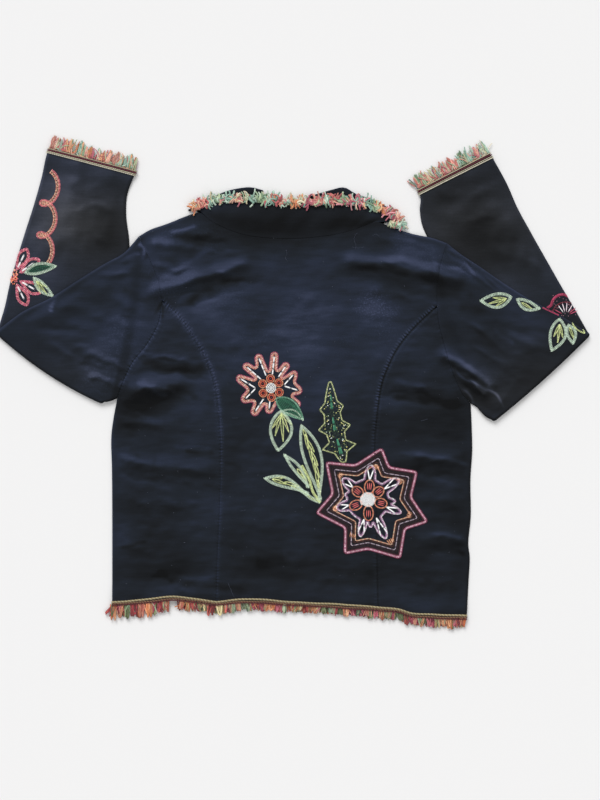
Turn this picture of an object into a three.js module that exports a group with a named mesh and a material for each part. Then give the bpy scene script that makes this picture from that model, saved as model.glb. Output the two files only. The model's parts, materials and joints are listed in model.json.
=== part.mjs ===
// Cropped velvet jacket with a fringed hem, cuffs and collar, laid flat on its fronts with its back up.
// Both sleeves are folded under at the elbow, so each forearm lies below its upper arm and reaches past the shoulder.
// The collar is flipped up, away from the back. Millimetres, +Z up, +Y towards the collar, underside on z = 0.
// The wearer's left is on -X.
import * as THREE from 'three';

// ---------------------------------------------------------------- driving dimensions
const CLOTH = 1.5;        // velvet with its backing
const GAP = 0.3;          // between neighbouring pieces
const LOFT = 1.6;         // spare height between the two layers away from a joined edge
const ROLL = 4.0;         // width of the rolled edge where front and back meet
const TRIM = 1.8;         // thickness of the corded braid
const TRIM_WIDTH = 6.5;   // width of the corded braid
const FOLD_R = 0.3;       // inner radius of a sharp fold
const FOLD_LOFT = 0.3;    // spare height inside a sharp fold
const ORIGIN = { x: 1.35, y: 2.2 };   // middle of the outline, taken off every point

const FOREARM = 2 * CLOTH + GAP + FOLD_LOFT + 2 * FOLD_R;   // what an upper arm rises by over its forearm
const CUFF_RISE = TRIM + GAP;                               // what the braid lifts a hem or cuff by

const table = (columns, ...rows) => rows.map((r) => Object.fromEntries(columns.map((c, i) => [c, r[i]])));

// ---------------------------------------------------------------- seam and edge lines, laid flat
const XY = ['x', 'y'];
const LINE = {
  hemLeft: table(XY, [-257.5, -316], [-214.5, -313], [-166, -308.5], [-108.5, -315.5]),
  hemCentre: table(XY, [-108.5, -315.5], [-60, -312], [-3, -315.5], [58.5, -319], [123, -323]),
  hemRight: table(XY, [123, -323], [151.5, -326], [174.5, -332.5], [211.5, -334.5], [250, -335.5]),
  sideLeft: table(XY, [-257.5, -316], [-257.5, -194.5], [-258, -123], [-259, -80], [-256, -51.5], [-250, -20]),
  sideRight: table(XY, [250, -335.5], [253, -280.5], [254.5, -249], [252.5, -226], [256, -187.5], [255.5, -137.5],
    [258, -97], [257.5, -66], [256, -28.5]),
  armLowLeft: table(XY, [-250, -20], [-243, 0], [-229, 30], [-207.5, 57], [-191.5, 87], [-186, 120]),
  armTopLeft: table(XY, [-186, 120], [-191.5, 148.5], [-204.5, 180], [-219, 211.5]),
  armLowRight: table(XY, [256, -28.5], [241.5, -10], [226, 27], [216, 63], [209.5, 88.5], [207.5, 111.5]),
  armTopRight: table(XY, [207.5, 111.5], [207.5, 141.5], [213, 174.5], [221.5, 201.5]),
  princessLeft: table(XY, [-108.5, -315.5], [-106.5, -244.5], [-103.5, -180], [-102, -116], [-103, -58.5],
    [-108.5, -5.5], [-120, 30], [-137.5, 63], [-160, 94.5], [-186, 120]),
  princessRight: table(XY, [123, -323], [121.5, -244.5], [120, -166], [118.5, -94.5], [121, -51.5],
    [127.5, -4.5], [137.5, 24.5], [151.5, 51.5], [173, 78.5], [207.5, 111.5]),
  shoulderLeft: table(XY, [-219, 211.5], [-203, 221], [-177.5, 230], [-150, 241], [-131.5, 246]),
  neckBack: table(XY, [-131.5, 246], [-108.5, 229], [-67, 213], [-10, 207.5], [47, 211.5], [86, 220], [121.5, 233]),
  shoulderRight: table(XY, [121.5, 233], [148.5, 222.5], [176, 214], [200, 209], [221.5, 201.5]),
  neckFrontLeft: table(XY, [-131.5, 246], [-114.5, 217.5], [-74.5, 186], [-5.5, 171.5]),
  neckFrontRight: table(XY, [121.5, 233], [104.5, 209], [66, 183], [-1.5, 171.5]),
  collarBack: table(XY, [-141.5, 253], [-126, 259.5], [-107, 264], [-74.5, 266], [-38.5, 264.5], [11.5, 261.5],
    [68.5, 263], [100, 260.5], [126, 252.5], [147.5, 240], [160, 229]),
  collarFrontLeft: table(XY, [-146, 251.5], [-124.5, 263], [-94.5, 276], [-71.5, 281], [-57, 281.5], [-41.5, 277.5]),
  collarFrontRight: table(XY, [157.5, 231.5], [134.5, 254.5], [114.5, 264.5], [91.5, 272.5], [74.5, 281.5],
    [54.5, 277.5], [24.5, 269]),
};

// Sections across each sleeve: a is the edge that leads to the shoulder tip, b the edge that leads to the underarm.
// bow is how much of the armhole's curve the section keeps.
const SECTION = ['ax', 'ay', 'bx', 'by', 'bow'];
const SLEEVES = {
  left: {
    upper: table(SECTION, [-219, 211.5, -250, -20, 1], [-228, 200.5, -251, -21, 0.9], [-237.5, 190, -252.5, -21.5, 0.75],
      [-269, 171.5, -255.5, -23, 0.5], [-306, 148.5, -258, -24, 0.28], [-346, 123, -261.5, -25, 0.1],
      [-386, 103, -265.5, -25.5, 0]),
    elbow: table(SECTION, [-422, 76, -269, -25.5, 0])[0],
    bulge: 8,
    forearm: table(SECTION, [-412, 108.5, -257.5, 23, 0], [-403.5, 146, -247.5, 77, 0], [-392, 186, -239, 134.5, 0],
      [-380.5, 223, -233, 201.5, 0], [-369, 259, -237.5, 241.5, 0], [-359, 294.5, -236, 270.5, 0],
      [-350.5, 330.5, -226, 297.5, 0], [-348, 337, -223, 304.5, 0]),
    fringeEnd: table(SECTION, [-342, 354.5, -216, 323, 0])[0],
  },
  right: {
    upper: table(SECTION, [221.5, 201.5, 256, -28.5, 1], [230, 194.5, 259.5, -30, 0.9], [239, 187.5, 263, -32, 0.75],
      [269, 167.5, 269, -38.5, 0.5], [304.5, 143, 274.5, -44.5, 0.28], [342, 120, 279, -48, 0.1],
      [383, 98.5, 283, -50, 0]),
    elbow: table(SECTION, [424.5, 73, 286, -51.5, 0])[0],
    bulge: 3,
    forearm: table(SECTION, [407.5, 103, 271.5, 5.5, 0], [389, 134.5, 249, 70, 0], [364.5, 177.5, 224.5, 134.5, 0],
      [342, 217.5, 199, 199, 0], [322, 254.5, 186, 229, 0], [307.5, 287.5, 183, 249, 0],
      [287.5, 323, 183, 270.5, 0], [283, 330.5, 180, 277.5, 0]),
    fringeEnd: table(SECTION, [274.5, 344.5, 170, 294.5, 0])[0],
  },
};

// Largest folds: a soft ridge (or trough, below zero) from one point to another.
const FOLDS = table(['x0', 'y0', 'x1', 'y1', 'width', 'height'],
  [-196, 131.5, -57, 174.5, 10, 4.5],      // below the left shoulder blade
  [-181.5, 110, -48.5, 144.5, 13, -1.4],
  [86, 174.5, 233, 150, 10, 4.5],          // below the right shoulder blade
  [76, 154.5, 211.5, 121.5, 13, -1.4],
  [-213, 206, -146, 196, 8.5, 2],          // left sleeve head
  [-211.5, 27, -121.5, 28.5, 10, -1.4],    // left underarm
  [-223, -10, -166, 0, 11.5, 4.5],
  [-243, -37, -180, -33, 13, -1.4],
  [219, 40, 281.5, -3, 8.5, 4],            // right underarm and sleeve
  [234.5, 17, 273, -14.5, 7, 3],
  [133, -20, 206, -24.5, 10, -1.4],
  [221.5, 197.5, 297.5, 134.5, 7, 2.5],
  [-382, 94.5, -317.5, 120, 13, 2.5],      // left elbow
  [-253, -111.5, -124.5, -123, 11.5, 1.8], // waist
  [147.5, -111.5, 254.5, -104.5, 11.5, 1.8],
  [-203, -287.5, -124.5, -273, 13, -1.2],  // hem
  [190, -224.5, 254.5, -220, 11.5, 1.8]);

// How far the fringe reaches below the hem.
const FRINGE_REACH = table(['x', 'reach'], [-258, 19], [-180, 17], [-60, 12], [60, 11], [140, 13], [250, 14]);

// ---------------------------------------------------------------- plane geometry
const lerp = (a, b, t) => a + (b - a) * t;
const mix = (p, q, t) => ({ x: lerp(p.x, q.x, t), y: lerp(p.y, q.y, t) });
const dist = (p, q) => Math.hypot(p.x - q.x, p.y - q.y);
const smooth = (lo, hi, v) => {
  const t = Math.min(Math.max((v - lo) / (hi - lo), 0), 1);
  return t * t * (3 - 2 * t);
};
const range = (n) => Array.from({ length: n }, (_, i) => i);
const fractions = (n) => range(n + 1).map((i) => i / n);

const splines = new Map();
function along(points, t) {
  if (!splines.has(points)) {
    splines.set(points, new THREE.CatmullRomCurve3(points.map((p) => new THREE.Vector3(p.x, p.y, 0)), false, 'catmullrom', 0.5));
  }
  const v = splines.get(points).getPointAt(t);
  return { x: v.x, y: v.y };
}
const lengthOf = (points) => { along(points, 0); return splines.get(points).getLength(); };
const sample = (points, ts) => ts.map((t) => along(points, t));

function distanceToSegment(p, a, b) {
  const dx = b.x - a.x, dy = b.y - a.y;
  const t = Math.min(Math.max(((p.x - a.x) * dx + (p.y - a.y) * dy) / (dx * dx + dy * dy), 0), 1);
  return Math.hypot(p.x - a.x - t * dx, p.y - a.y - t * dy);
}
const distanceToLine = (p, line) => Math.min(...range(line.length - 1).map((i) => distanceToSegment(p, line[i], line[i + 1])));
function inside(p, loop) {
  let odd = false;
  loop.forEach((a, i) => {
    const b = loop[(i + 1) % loop.length];
    if ((a.y > p.y) !== (b.y > p.y) && p.x < a.x + ((p.y - a.y) * (b.x - a.x)) / (b.y - a.y)) odd = !odd;
  });
  return odd;
}
// Moves a seam line's points sideways: to its right for side = 1, to its left for side = -1.
function inset(line, side, amount = GAP / 2) {
  return line.map((p, i) => {
    const a = line[Math.max(i - 1, 0)], b = line[Math.min(i + 1, line.length - 1)];
    const l = dist(a, b);
    return { x: p.x + (side * amount * (b.y - a.y)) / l, y: p.y - (side * amount * (b.x - a.x)) / l };
  });
}

// ---------------------------------------------------------------- how high the cloth lies
const hemLine = sample(LINE.hemLeft, fractions(24)).concat(sample(LINE.hemCentre, fractions(36)).slice(1),
  sample(LINE.hemRight, fractions(24)).slice(1));
function hemY(x) {
  const i = Math.min(Math.max(hemLine.findIndex((p) => p.x >= x), 1), hemLine.length - 1);
  const a = hemLine[i - 1], b = hemLine[i];
  return lerp(a.y, b.y, (x - a.x) / (b.x - a.x));
}
const footprints = ['left', 'right'].map((s) => {
  const rows = [SLEEVES[s].elbow, ...SLEEVES[s].forearm];
  return rows.map((r) => ({ x: r.ax, y: r.ay })).concat(rows.slice().reverse().map((r) => ({ x: r.bx, y: r.by })));
});
// What lies below a point of the body or an upper arm: a folded-under forearm, or the braid of the front hem.
function base(p) {
  const arm = Math.max(...footprints.map((loop) => {
    const d = inside(p, loop) ? 0 : distanceToLine(p, [...loop, loop[0]]);
    return FOREARM * (1 - smooth(7, 24, d));
  }));
  return Math.max(arm, CUFF_RISE * (1 - smooth(TRIM_WIDTH + 2, TRIM_WIDTH + 30, p.y - hemY(p.x))));
}
const joined = [LINE.sideLeft, LINE.sideRight, LINE.shoulderLeft.slice(0, 4), LINE.shoulderRight.slice(1)]
  .map((line) => sample(line, fractions(24)));
const joinDistance = (p) => Math.min(...joined.map((line) => distanceToLine(p, line)));

function folds(p) {
  return FOLDS.reduce((sum, f) => {
    const a = { x: f.x0, y: f.y0 }, b = { x: f.x1, y: f.y1 };
    const d = distanceToSegment(p, a, b);
    return sum + f.height * Math.exp(-((d / f.width) ** 2));
  }, 0);
}
const loft = (p, d) => (LOFT + folds(p)) * smooth(3, 30, d);
const roll = (d) => (CLOTH + GAP) * (1 - (1 - Math.min(d / ROLL, 1)) ** 2);
// The upper of two joined layers, at a distance d from the joined edge.
const upperBottom = (p, d = joinDistance(p)) => base(p) + smooth(1.4, ROLL, d) * (CLOTH + GAP + 0.1 + loft(p, d));
const upperTop = (p, d = joinDistance(p)) => base(p) + CLOTH + roll(d) + 0.1 + loft(p, d);

// ---------------------------------------------------------------- solids
function solid(name, vertices, triangles, material) {
  const position = [];
  triangles.forEach((t) => t.forEach((i) => position.push(vertices[i][0] - ORIGIN.x, vertices[i][1] - ORIGIN.y, vertices[i][2])));
  const geometry = new THREE.BufferGeometry();
  geometry.setAttribute('position', new THREE.Float32BufferAttribute(position, 3));
  geometry.computeVertexNormals();
  const mesh = new THREE.Mesh(geometry, material);
  mesh.name = name;
  return mesh;
}
function volume(vertices, triangles) {
  return triangles.reduce((sum, [i, j, k]) => {
    const a = vertices[i], b = vertices[j], c = vertices[k];
    return sum + (a[0] * (b[1] * c[2] - b[2] * c[1]) - a[1] * (b[0] * c[2] - b[2] * c[0]) + a[2] * (b[0] * c[1] - b[1] * c[0])) / 6;
  }, 0);
}
function closed(name, vertices, triangles, material) {
  if (volume(vertices, triangles) < 0) triangles = triangles.map(([a, b, c]) => [a, c, b]);
  return solid(name, vertices, triangles, material);
}
// Splits a quad along its shorter diagonal.
function quad(vertices, a, b, c, d) {
  const l = (i, j) => Math.hypot(...range(3).map((k) => vertices[i][k] - vertices[j][k]));
  return l(a, c) <= l(b, d) ? [[a, b, c], [a, c, d]] : [[a, b, d], [b, c, d]];
}
// A wall over a grid of plan points: grid[row][column] = { x, y, low, high }.
function slab(name, grid, material) {
  const rows = grid.length, columns = grid[0].length, vertices = [], triangles = [];
  grid.forEach((row) => row.forEach((p) => vertices.push([p.x, p.y, p.low])));
  grid.forEach((row) => row.forEach((p) => vertices.push([p.x, p.y, p.high])));
  const n = rows * columns, at = (r, c) => r * columns + c;
  for (const r of range(rows - 1)) {
    for (const c of range(columns - 1)) {
      const [p, q, s, t] = [at(r, c), at(r, c + 1), at(r + 1, c + 1), at(r + 1, c)];
      triangles.push(...quad(vertices, p, t, s, q), ...quad(vertices, p + n, q + n, s + n, t + n));
    }
  }
  const border = [...range(columns).map((c) => at(0, c)), ...range(rows).slice(1).map((r) => at(r, columns - 1)),
    ...range(columns - 1).reverse().map((c) => at(rows - 1, c)), ...range(rows - 1).slice(1).reverse().map((r) => at(r, 0))];
  border.forEach((p, i) => { const q = border[(i + 1) % border.length]; triangles.push([p, q, q + n], [p, q + n, p + n]); });
  return closed(name, vertices, triangles, material);
}
// A tube wall through rings: each ring has an outer and an inner loop of as many points. Both ends stay open.
function tube(name, rings, material) {
  const n = rings[0].outer.length, vertices = [], triangles = [];
  rings.forEach((r) => { vertices.push(...r.outer, ...r.inner); });
  const outer = (r, i) => r * 2 * n + (i % n), inner = (r, i) => r * 2 * n + n + (i % n);
  for (const r of range(rings.length - 1)) {
    for (const i of range(n)) {
      triangles.push(...quad(vertices, outer(r, i), outer(r, i + 1), outer(r + 1, i + 1), outer(r + 1, i)));
      triangles.push(...quad(vertices, inner(r, i), inner(r + 1, i), inner(r + 1, i + 1), inner(r, i + 1)));
    }
  }
  for (const i of range(n)) {
    triangles.push(...quad(vertices, outer(0, i), inner(0, i), inner(0, i + 1), outer(0, i + 1)));
    const last = rings.length - 1;
    triangles.push(...quad(vertices, outer(last, i), outer(last, i + 1), inner(last, i + 1), inner(last, i)));
  }
  return closed(name, vertices, triangles, material);
}
// A bar through sections that are loops of as many points, closed at both ends.
function bar(name, sections, material) {
  const n = sections[0].length, vertices = sections.flat(), triangles = [];
  const at = (r, i) => r * n + (i % n);
  for (const r of range(sections.length - 1)) {
    for (const i of range(n)) triangles.push(...quad(vertices, at(r, i), at(r, i + 1), at(r + 1, i + 1), at(r + 1, i)));
  }
  const half = n / 2, last = sections.length - 1;
  for (const i of range(half - 1)) {
    triangles.push(...quad(vertices, at(0, i), at(0, n - 1 - i), at(0, n - 2 - i), at(0, i + 1)));
    triangles.push(...quad(vertices, at(last, i), at(last, i + 1), at(last, n - 2 - i), at(last, n - 1 - i)));
  }
  return closed(name, vertices, triangles, material);
}
// A flat panel between four edges, each given as the points of its grid lines.
function patch(bottom, top, left, right, us) {
  const [p00, p10, p01, p11] = [bottom[0], bottom.at(-1), top[0], top.at(-1)];
  const travel = (line) => line.reduce((s, p, i) => (i ? [...s, s[i - 1] + dist(p, line[i - 1])] : [0]), []);
  const tl = travel(left), tr = travel(right);
  return left.map((l, j) => {
    const v = (tl[j] / tl.at(-1) + tr[j] / tr.at(-1)) / 2, r = right[j];
    return bottom.map((b, i) => {
      const u = us[i], t = top[i];
      const f = (k) => (1 - v) * b[k] + v * t[k] + (1 - u) * l[k] + u * r[k]
        - (1 - u) * (1 - v) * p00[k] - u * (1 - v) * p10[k] - (1 - u) * v * p01[k] - u * v * p11[k];
      return { x: f('x'), y: f('y') };
    });
  });
}
const raised = (grid, low, high) => grid.map((row) => row.map((p) => ({ ...p, low: low(p), high: high(p) })));

// ---------------------------------------------------------------- materials
const velvet = new THREE.MeshStandardMaterial({ name: 'velvet', color: 0x1a1d2c, roughness: 0.9, metalness: 0 });
const velvetSide = new THREE.MeshStandardMaterial({ name: 'velvet_side', color: 0x181b29, roughness: 0.9, metalness: 0 });
const braid = new THREE.MeshStandardMaterial({ name: 'braid', color: 0x9a8a3c, roughness: 0.8, metalness: 0 });
const fringe = new THREE.MeshStandardMaterial({ name: 'fringe', color: 0xc0604a, roughness: 0.85, metalness: 0 });

// ---------------------------------------------------------------- grid lines shared along the seams
// rows up a side seam: closer together over the hem's braid and below the underarm
const sideRows = (l) => [0, TRIM_WIDTH + 2, 20, 36, ...fractions(6).slice(1, -1).map((t) => lerp(36, l - 34, t)), l - 34, l - 17, l].map((d) => d / l);
const LOW_ROWS = fractions(5);
const TOP_ROWS = fractions(4);
const nearEnds = (points, ds) => ds.map((d) => 1 - d / lengthOf(points));   // fractions at distances from the end
const tipOf = (line) => [...line.slice(0, -1), mix(line.at(-2), line.at(-1), 0.88)];

const object = new THREE.Group();
const BACK_TOP = 10;       // columns along the neck
const SHOULDER = 4;        // columns along each shoulder

function seamRows(s) {
  const low = LINE[`armLow${s}`], top = LINE[`armTop${s}`], side = LINE[`side${s}`], princess = LINE[`princess${s}`];
  // rows of the armhole's upper part, with two more where it rolls over at the shoulder
  const topTs = [...TOP_ROWS.slice(0, -1), ...nearEnds(top, [ROLL, 1.5]), 1];
  const ls = lengthOf(side), ll = lengthOf(low), rows = sideRows(ls);
  const all = [...rows.map((t) => t * ls), ...LOW_ROWS.slice(1).map((t) => ls + t * ll)].map((d) => d / (ls + ll));
  return { side: sample(side, rows), low: sample(low, LOW_ROWS), top: sample(top, topTs), princess: sample(princess, all) };
}
const SEAM = { Left: seamRows('Left'), Right: seamRows('Right') };
const hemTs = fractions(2 * SHOULDER + BACK_TOP);

// centre back
{
  const left = inset([...SEAM.Left.princess, ...SEAM.Left.top.slice(1)], 1);
  const right = inset([...SEAM.Right.princess, ...SEAM.Right.top.slice(1)], -1);
  const shoulderL = sample(LINE.shoulderLeft, fractions(SHOULDER)), shoulderR = sample(LINE.shoulderRight, fractions(SHOULDER));
  const neck = sample(LINE.neckBack, fractions(BACK_TOP));
  const top = inset([...shoulderL, ...neck.slice(1), ...shoulderR.slice(1)], 1);
  const bottom = sample(LINE.hemCentre, hemTs);
  top[0] = left.at(-1); top[top.length - 1] = right.at(-1); bottom[0] = left[0]; bottom[bottom.length - 1] = right[0];
  object.add(slab('back_centre', raised(patch(bottom, top, left, right, hemTs), upperBottom, upperTop), velvet));
}

// side backs and fronts
for (const [s, name, sign] of [['Left', 'left', 1], ['Right', 'right', -1]]) {
  const seam = SEAM[s], order = (line) => (sign > 0 ? line : line.slice().reverse());
  const outerEdge = inset(tipOf([...seam.side, ...seam.low.slice(1)]), sign);
  // the side itself needs no gap: only the armhole above it does
  seam.side.slice(0, -1).forEach((p, i) => { outerEdge[i] = p; });
  const innerEdge = inset(tipOf(seam.princess), -sign);
  const width = dist(outerEdge[0], innerEdge[0]);
  const us = [0, 1.5 / width, ROLL / width, 12 / width, ...fractions(5).slice(1).map((t) => lerp(12 / width, 1, t))];
  const hem = LINE[`hem${s}`];
  const bottom = us.map((u) => along(hem, sign > 0 ? u : 1 - u));
  bottom[0] = outerEdge[0]; bottom[bottom.length - 1] = innerEdge[0];
  const top = us.map((u) => mix(outerEdge.at(-1), innerEdge.at(-1), u));
  object.add(slab(`back_side_${name}`, raised(patch(bottom, top, outerEdge, innerEdge, us), upperBottom, upperTop), velvetSide));

  // the front lies below, in from the rolled edges, and its neckline dips lower
  const reach = ROLL + GAP;
  const side = seam.side.map((p) => ({ x: p.x + sign * reach, y: p.y }));
  side[0].y = hemY(side[0].x);
  const arm = inset([...seam.low, ...seam.top.slice(1, -2)], sign);
  const edge = [...side, ...arm.slice(1)];
  const tip = edge.at(-1);
  const centreX = -3.5 - sign * GAP / 2;
  const neckTs = fractions(7);
  const shoulder = inset(sample(LINE[`shoulder${s}`], sign > 0 ? fractions(4) : fractions(4).reverse()), sign, reach + 1.5);
  shoulder[0] = tip;
  const neckFront = inset(sample(LINE[`neckFront${s}`], neckTs), sign);
  shoulder[shoulder.length - 1] = { x: neckFront[0].x - sign * 4, y: neckFront[0].y - 2 * reach };
  const frontTop = [...shoulder, ...neckFront.slice(1)];
  frontTop[frontTop.length - 1] = { x: centreX, y: neckFront.at(-1).y };
  const n = frontTop.length - 1;
  const frontBottom = fractions(n).map((t) => { const x = lerp(edge[0].x, centreX, t); return { x, y: hemY(x) }; });
  const rise = edge.map((p) => p.y - edge[0].y);
  const centre = edge.map((p, i) => ({ x: centreX, y: i < 4 ? frontBottom.at(-1).y + rise[i]
    : lerp(frontBottom.at(-1).y + rise[3], frontTop.at(-1).y, (i - 3) / (edge.length - 4)) }));
  object.add(slab(`front_${name}`, raised(patch(frontBottom, frontTop, edge, centre, fractions(n)), base, (p) => base(p) + CLOTH), velvet));
}

// ---------------------------------------------------------------- sleeves
// Sections are crossed by the same columns as the armhole, with more where the tube's two edges roll over.
function sleeve(name, s) {
  const spec = SLEEVES[name], seam = SEAM[s], side = name === 'left' ? 1 : -1;
  const armhole = [...seam.top.slice().reverse(), ...seam.low.slice(0, -1).reverse()];
  const [beforeEnd, end0] = armhole.slice(-2), lastStep = dist(beforeEnd, end0);
  armhole.splice(armhole.length - 1, 0, mix(end0, beforeEnd, ROLL / lastStep), mix(end0, beforeEnd, 1.5 / lastStep));
  const line = inset(armhole, side);
  const travel = line.reduce((t, p, i) => (i ? [...t, t[i - 1] + dist(p, line[i - 1])] : [0]), []);
  const ss = travel.map((t) => t / travel.at(-1)), K = ss.length - 1;
  const [a0, b0] = [armhole[0], armhole.at(-1)];
  const plan = (row, u) => {
    const p = mix({ x: row.ax, y: row.ay }, { x: row.bx, y: row.by }, u);
    if (!row.bow) return p;
    // the armhole's own curve, by travel
    const i = Math.min(Math.max(ss.findIndex((v) => v >= u), 1), K), t = (u - ss[i - 1]) / (ss[i] - ss[i - 1]);
    const q = mix(line[i - 1], line[i], t), chord = mix(a0, b0, u);
    return { x: p.x + row.bow * (q.x - chord.x), y: p.y + row.bow * (q.y - chord.y) };
  };
  const widthOf = (row) => dist(plan(row, 0), plan(row, 0.25)) + dist(plan(row, 0.25), plan(row, 0.5))
    + dist(plan(row, 0.5), plan(row, 0.75)) + dist(plan(row, 0.75), plan(row, 1));
  // columns of a section: the rolled edges keep their width, the middle scales
  const columns = (row) => {
    const w = widthOf(row);
    const edges = [0, 1.5 / w, ROLL / w];
    const mid = ss.slice(3, K - 2);
    const scale = (v) => lerp(ROLL / w, 1 - ROLL / w, (v - ss[2]) / (ss[K - 2] - ss[2]));
    return { w, us: row.bow === 1 ? ss : [...edges, ...mid.map(scale), ...edges.map((e) => 1 - e).reverse()] };
  };
  const hollow = 2.2;   // the tube's hollow starts this far in from its edges
  const inner = (us, w) => us.map((u) => Math.min(Math.max(u, hollow / w), 1 - hollow / w))
    .map((u, k, all) => (k === 1 ? lerp(all[0], us[2], 0.5) : k === K - 1 ? lerp(all[K], us[K - 2], 0.5) : u));
  const edgeDistance = (u, w) => Math.min(u, 1 - u) * w;
  const loop = (first, second) => [...first, ...second.slice().reverse()];

  // flat length: heights of the two walls above what they lie on
  const flat = (row, under, spare, turned) => {
    const { w, us } = columns(row), vs = inner(us, w);
    const P = us.map((u) => plan(row, u)), Q = vs.map((u) => plan(row, u));
    const D = us.map((u) => edgeDistance(u, w)), E = vs.map((u) => edgeDistance(u, w));
    const top = P.map((p, k) => [p.x, p.y, under(p) + CLOTH + roll(D[k]) + spare(p, D[k])]);
    const bottom = P.map((p) => [p.x, p.y, under(p)]);
    const upper = Q.map((p, k) => [p.x, p.y, under(p) + CLOTH + Math.max(0.1, GAP * smooth(2, ROLL, E[k])) + spare(p, E[k]) * smooth(2, 9, E[k])]);
    const lower = Q.map((p) => [p.x, p.y, under(p) + CLOTH]);
    return turned ? { outer: loop(bottom, top), inner: loop(lower, upper) } : { outer: loop(top, bottom), inner: loop(upper, lower) };
  };
  // around the elbow's fold: heights become radii about the fold line
  const { elbow, bulge } = spec;
  const out = (() => {
    const dx = elbow.bx - elbow.ax, dy = elbow.by - elbow.ay, l = Math.hypot(dx, dy);
    return { x: (side * dy) / l, y: (-side * dx) / l };
  })();
  const centreZ = FOLD_R + 2 * CLOTH + GAP + FOLD_LOFT;
  const turn = (angle) => {
    const { w, us } = columns(elbow), vs = inner(us, w);
    const point = (u, h) => {
      const p = plan(elbow, u), r = FOLD_R + h, push = bulge * Math.sin(Math.PI * u) ** 0.8;
      return [p.x + out.x * (r * Math.sin(angle) + push), p.y + out.y * (r * Math.sin(angle) + push), centreZ + r * Math.cos(angle)];
    };
    const spare = (d) => FOLD_LOFT * smooth(2, ROLL, d);
    const outer1 = us.map((u) => { const d = edgeDistance(u, w); return point(u, CLOTH + roll(d) + spare(d)); });
    const outer2 = us.map((u) => point(u, 0));
    const inner1 = vs.map((u) => { const d = edgeDistance(u, w); return point(u, CLOTH + Math.max(0.1, GAP * smooth(2, ROLL, d)) + spare(d)); });
    const inner2 = vs.map((u) => point(u, CLOTH));
    return { outer: loop(outer1, outer2), inner: loop(inner1, inner2) };
  };
  // the forearm: flat on the surface below the upper arm, with some spare height past its edge, and raised at the cuff
  const upperEdge = [...spec.upper, elbow].map((r) => ({ x: r.ax, y: r.ay }));
  const past = (p) => {
    const i = Math.min(Math.max(upperEdge.findIndex((q) => side * (p.x - q.x) > 0), 1), upperEdge.length - 1);
    const a = upperEdge[i - 1], b = upperEdge[i];
    return p.y - lerp(a.y, b.y, (p.x - a.x) / (b.x - a.x));
  };
  const cuff = spec.forearm.at(-1);
  const cuffDistance = (p) => distanceToSegment(p, { x: cuff.ax, y: cuff.ay }, { x: cuff.bx, y: cuff.by });
  const cuffRise = (p) => CUFF_RISE * (1 - smooth(TRIM_WIDTH + 3, TRIM_WIDTH + 32, cuffDistance(p)));
  const forearmSpare = (p, d) => FOLD_LOFT * smooth(2, ROLL, d) + 1.6 * smooth(12, 60, past(p)) * smooth(3, 30, d);

  const upperRows = spec.upper.map((row) => flat(row, base, loft, false));
  const turnRows = [0, 0.25, 0.5, 0.75, 1].map((t) => turn(Math.PI * t));
  const foreRows = spec.forearm.map((row) => flat(row, cuffRise, forearmSpare, true));
  // keep the sleeve clear of the body along the armhole
  object.add(tube(`sleeve_${name}`, [...upperRows, ...turnRows, ...foreRows], velvet));

  // braid: a band round the cuff, outside the sleeve
  const [r0, r1] = spec.forearm.slice(-2);
  const band = (row, e) => {
    const { outer } = flat(row, cuffRise, forearmSpare, true), n = outer.length;
    const d = { x: row.bx - row.ax, y: row.by - row.ay }, l = Math.hypot(d.x, d.y);
    return outer.map(([x, y, z], i) => {
      const k = i < n / 2 ? i : n - 1 - i, lowLayer = i < n / 2;
      const push = k === 0 ? -e : k === K ? e : 0;
      return [x + (push * d.x) / l, y + (push * d.y) / l, z + (lowLayer ? -e : e)];
    });
  };
  object.add(tube(`braid_cuff_${name}`, [r0, r1].map((row) => ({ outer: band(row, GAP + TRIM), inner: band(row, GAP) })), braid));

  // fringe: a plain solid of its reach beyond the cuff's edge
  const end = spec.fringeEnd;
  const fringeRow = (t, low, high) => fractions(8).map((u) => {
    const p = mix({ x: r1.ax, y: r1.ay }, { x: r1.bx, y: r1.by }, u), q = mix({ x: end.ax, y: end.ay }, { x: end.bx, y: end.by }, u);
    return { ...mix(p, q, t), low, high };
  });
  const reach = Math.hypot(end.ax - r1.ax, end.ay - r1.ay);
  object.add(slab(`fringe_cuff_${name}`, [fringeRow(0.4 / reach, 1.2, 6), fringeRow(0.45, 0.4, 5), fringeRow(1, 0, 3)], fringe));
}
sleeve('left', 'Left');
sleeve('right', 'Right');

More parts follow.
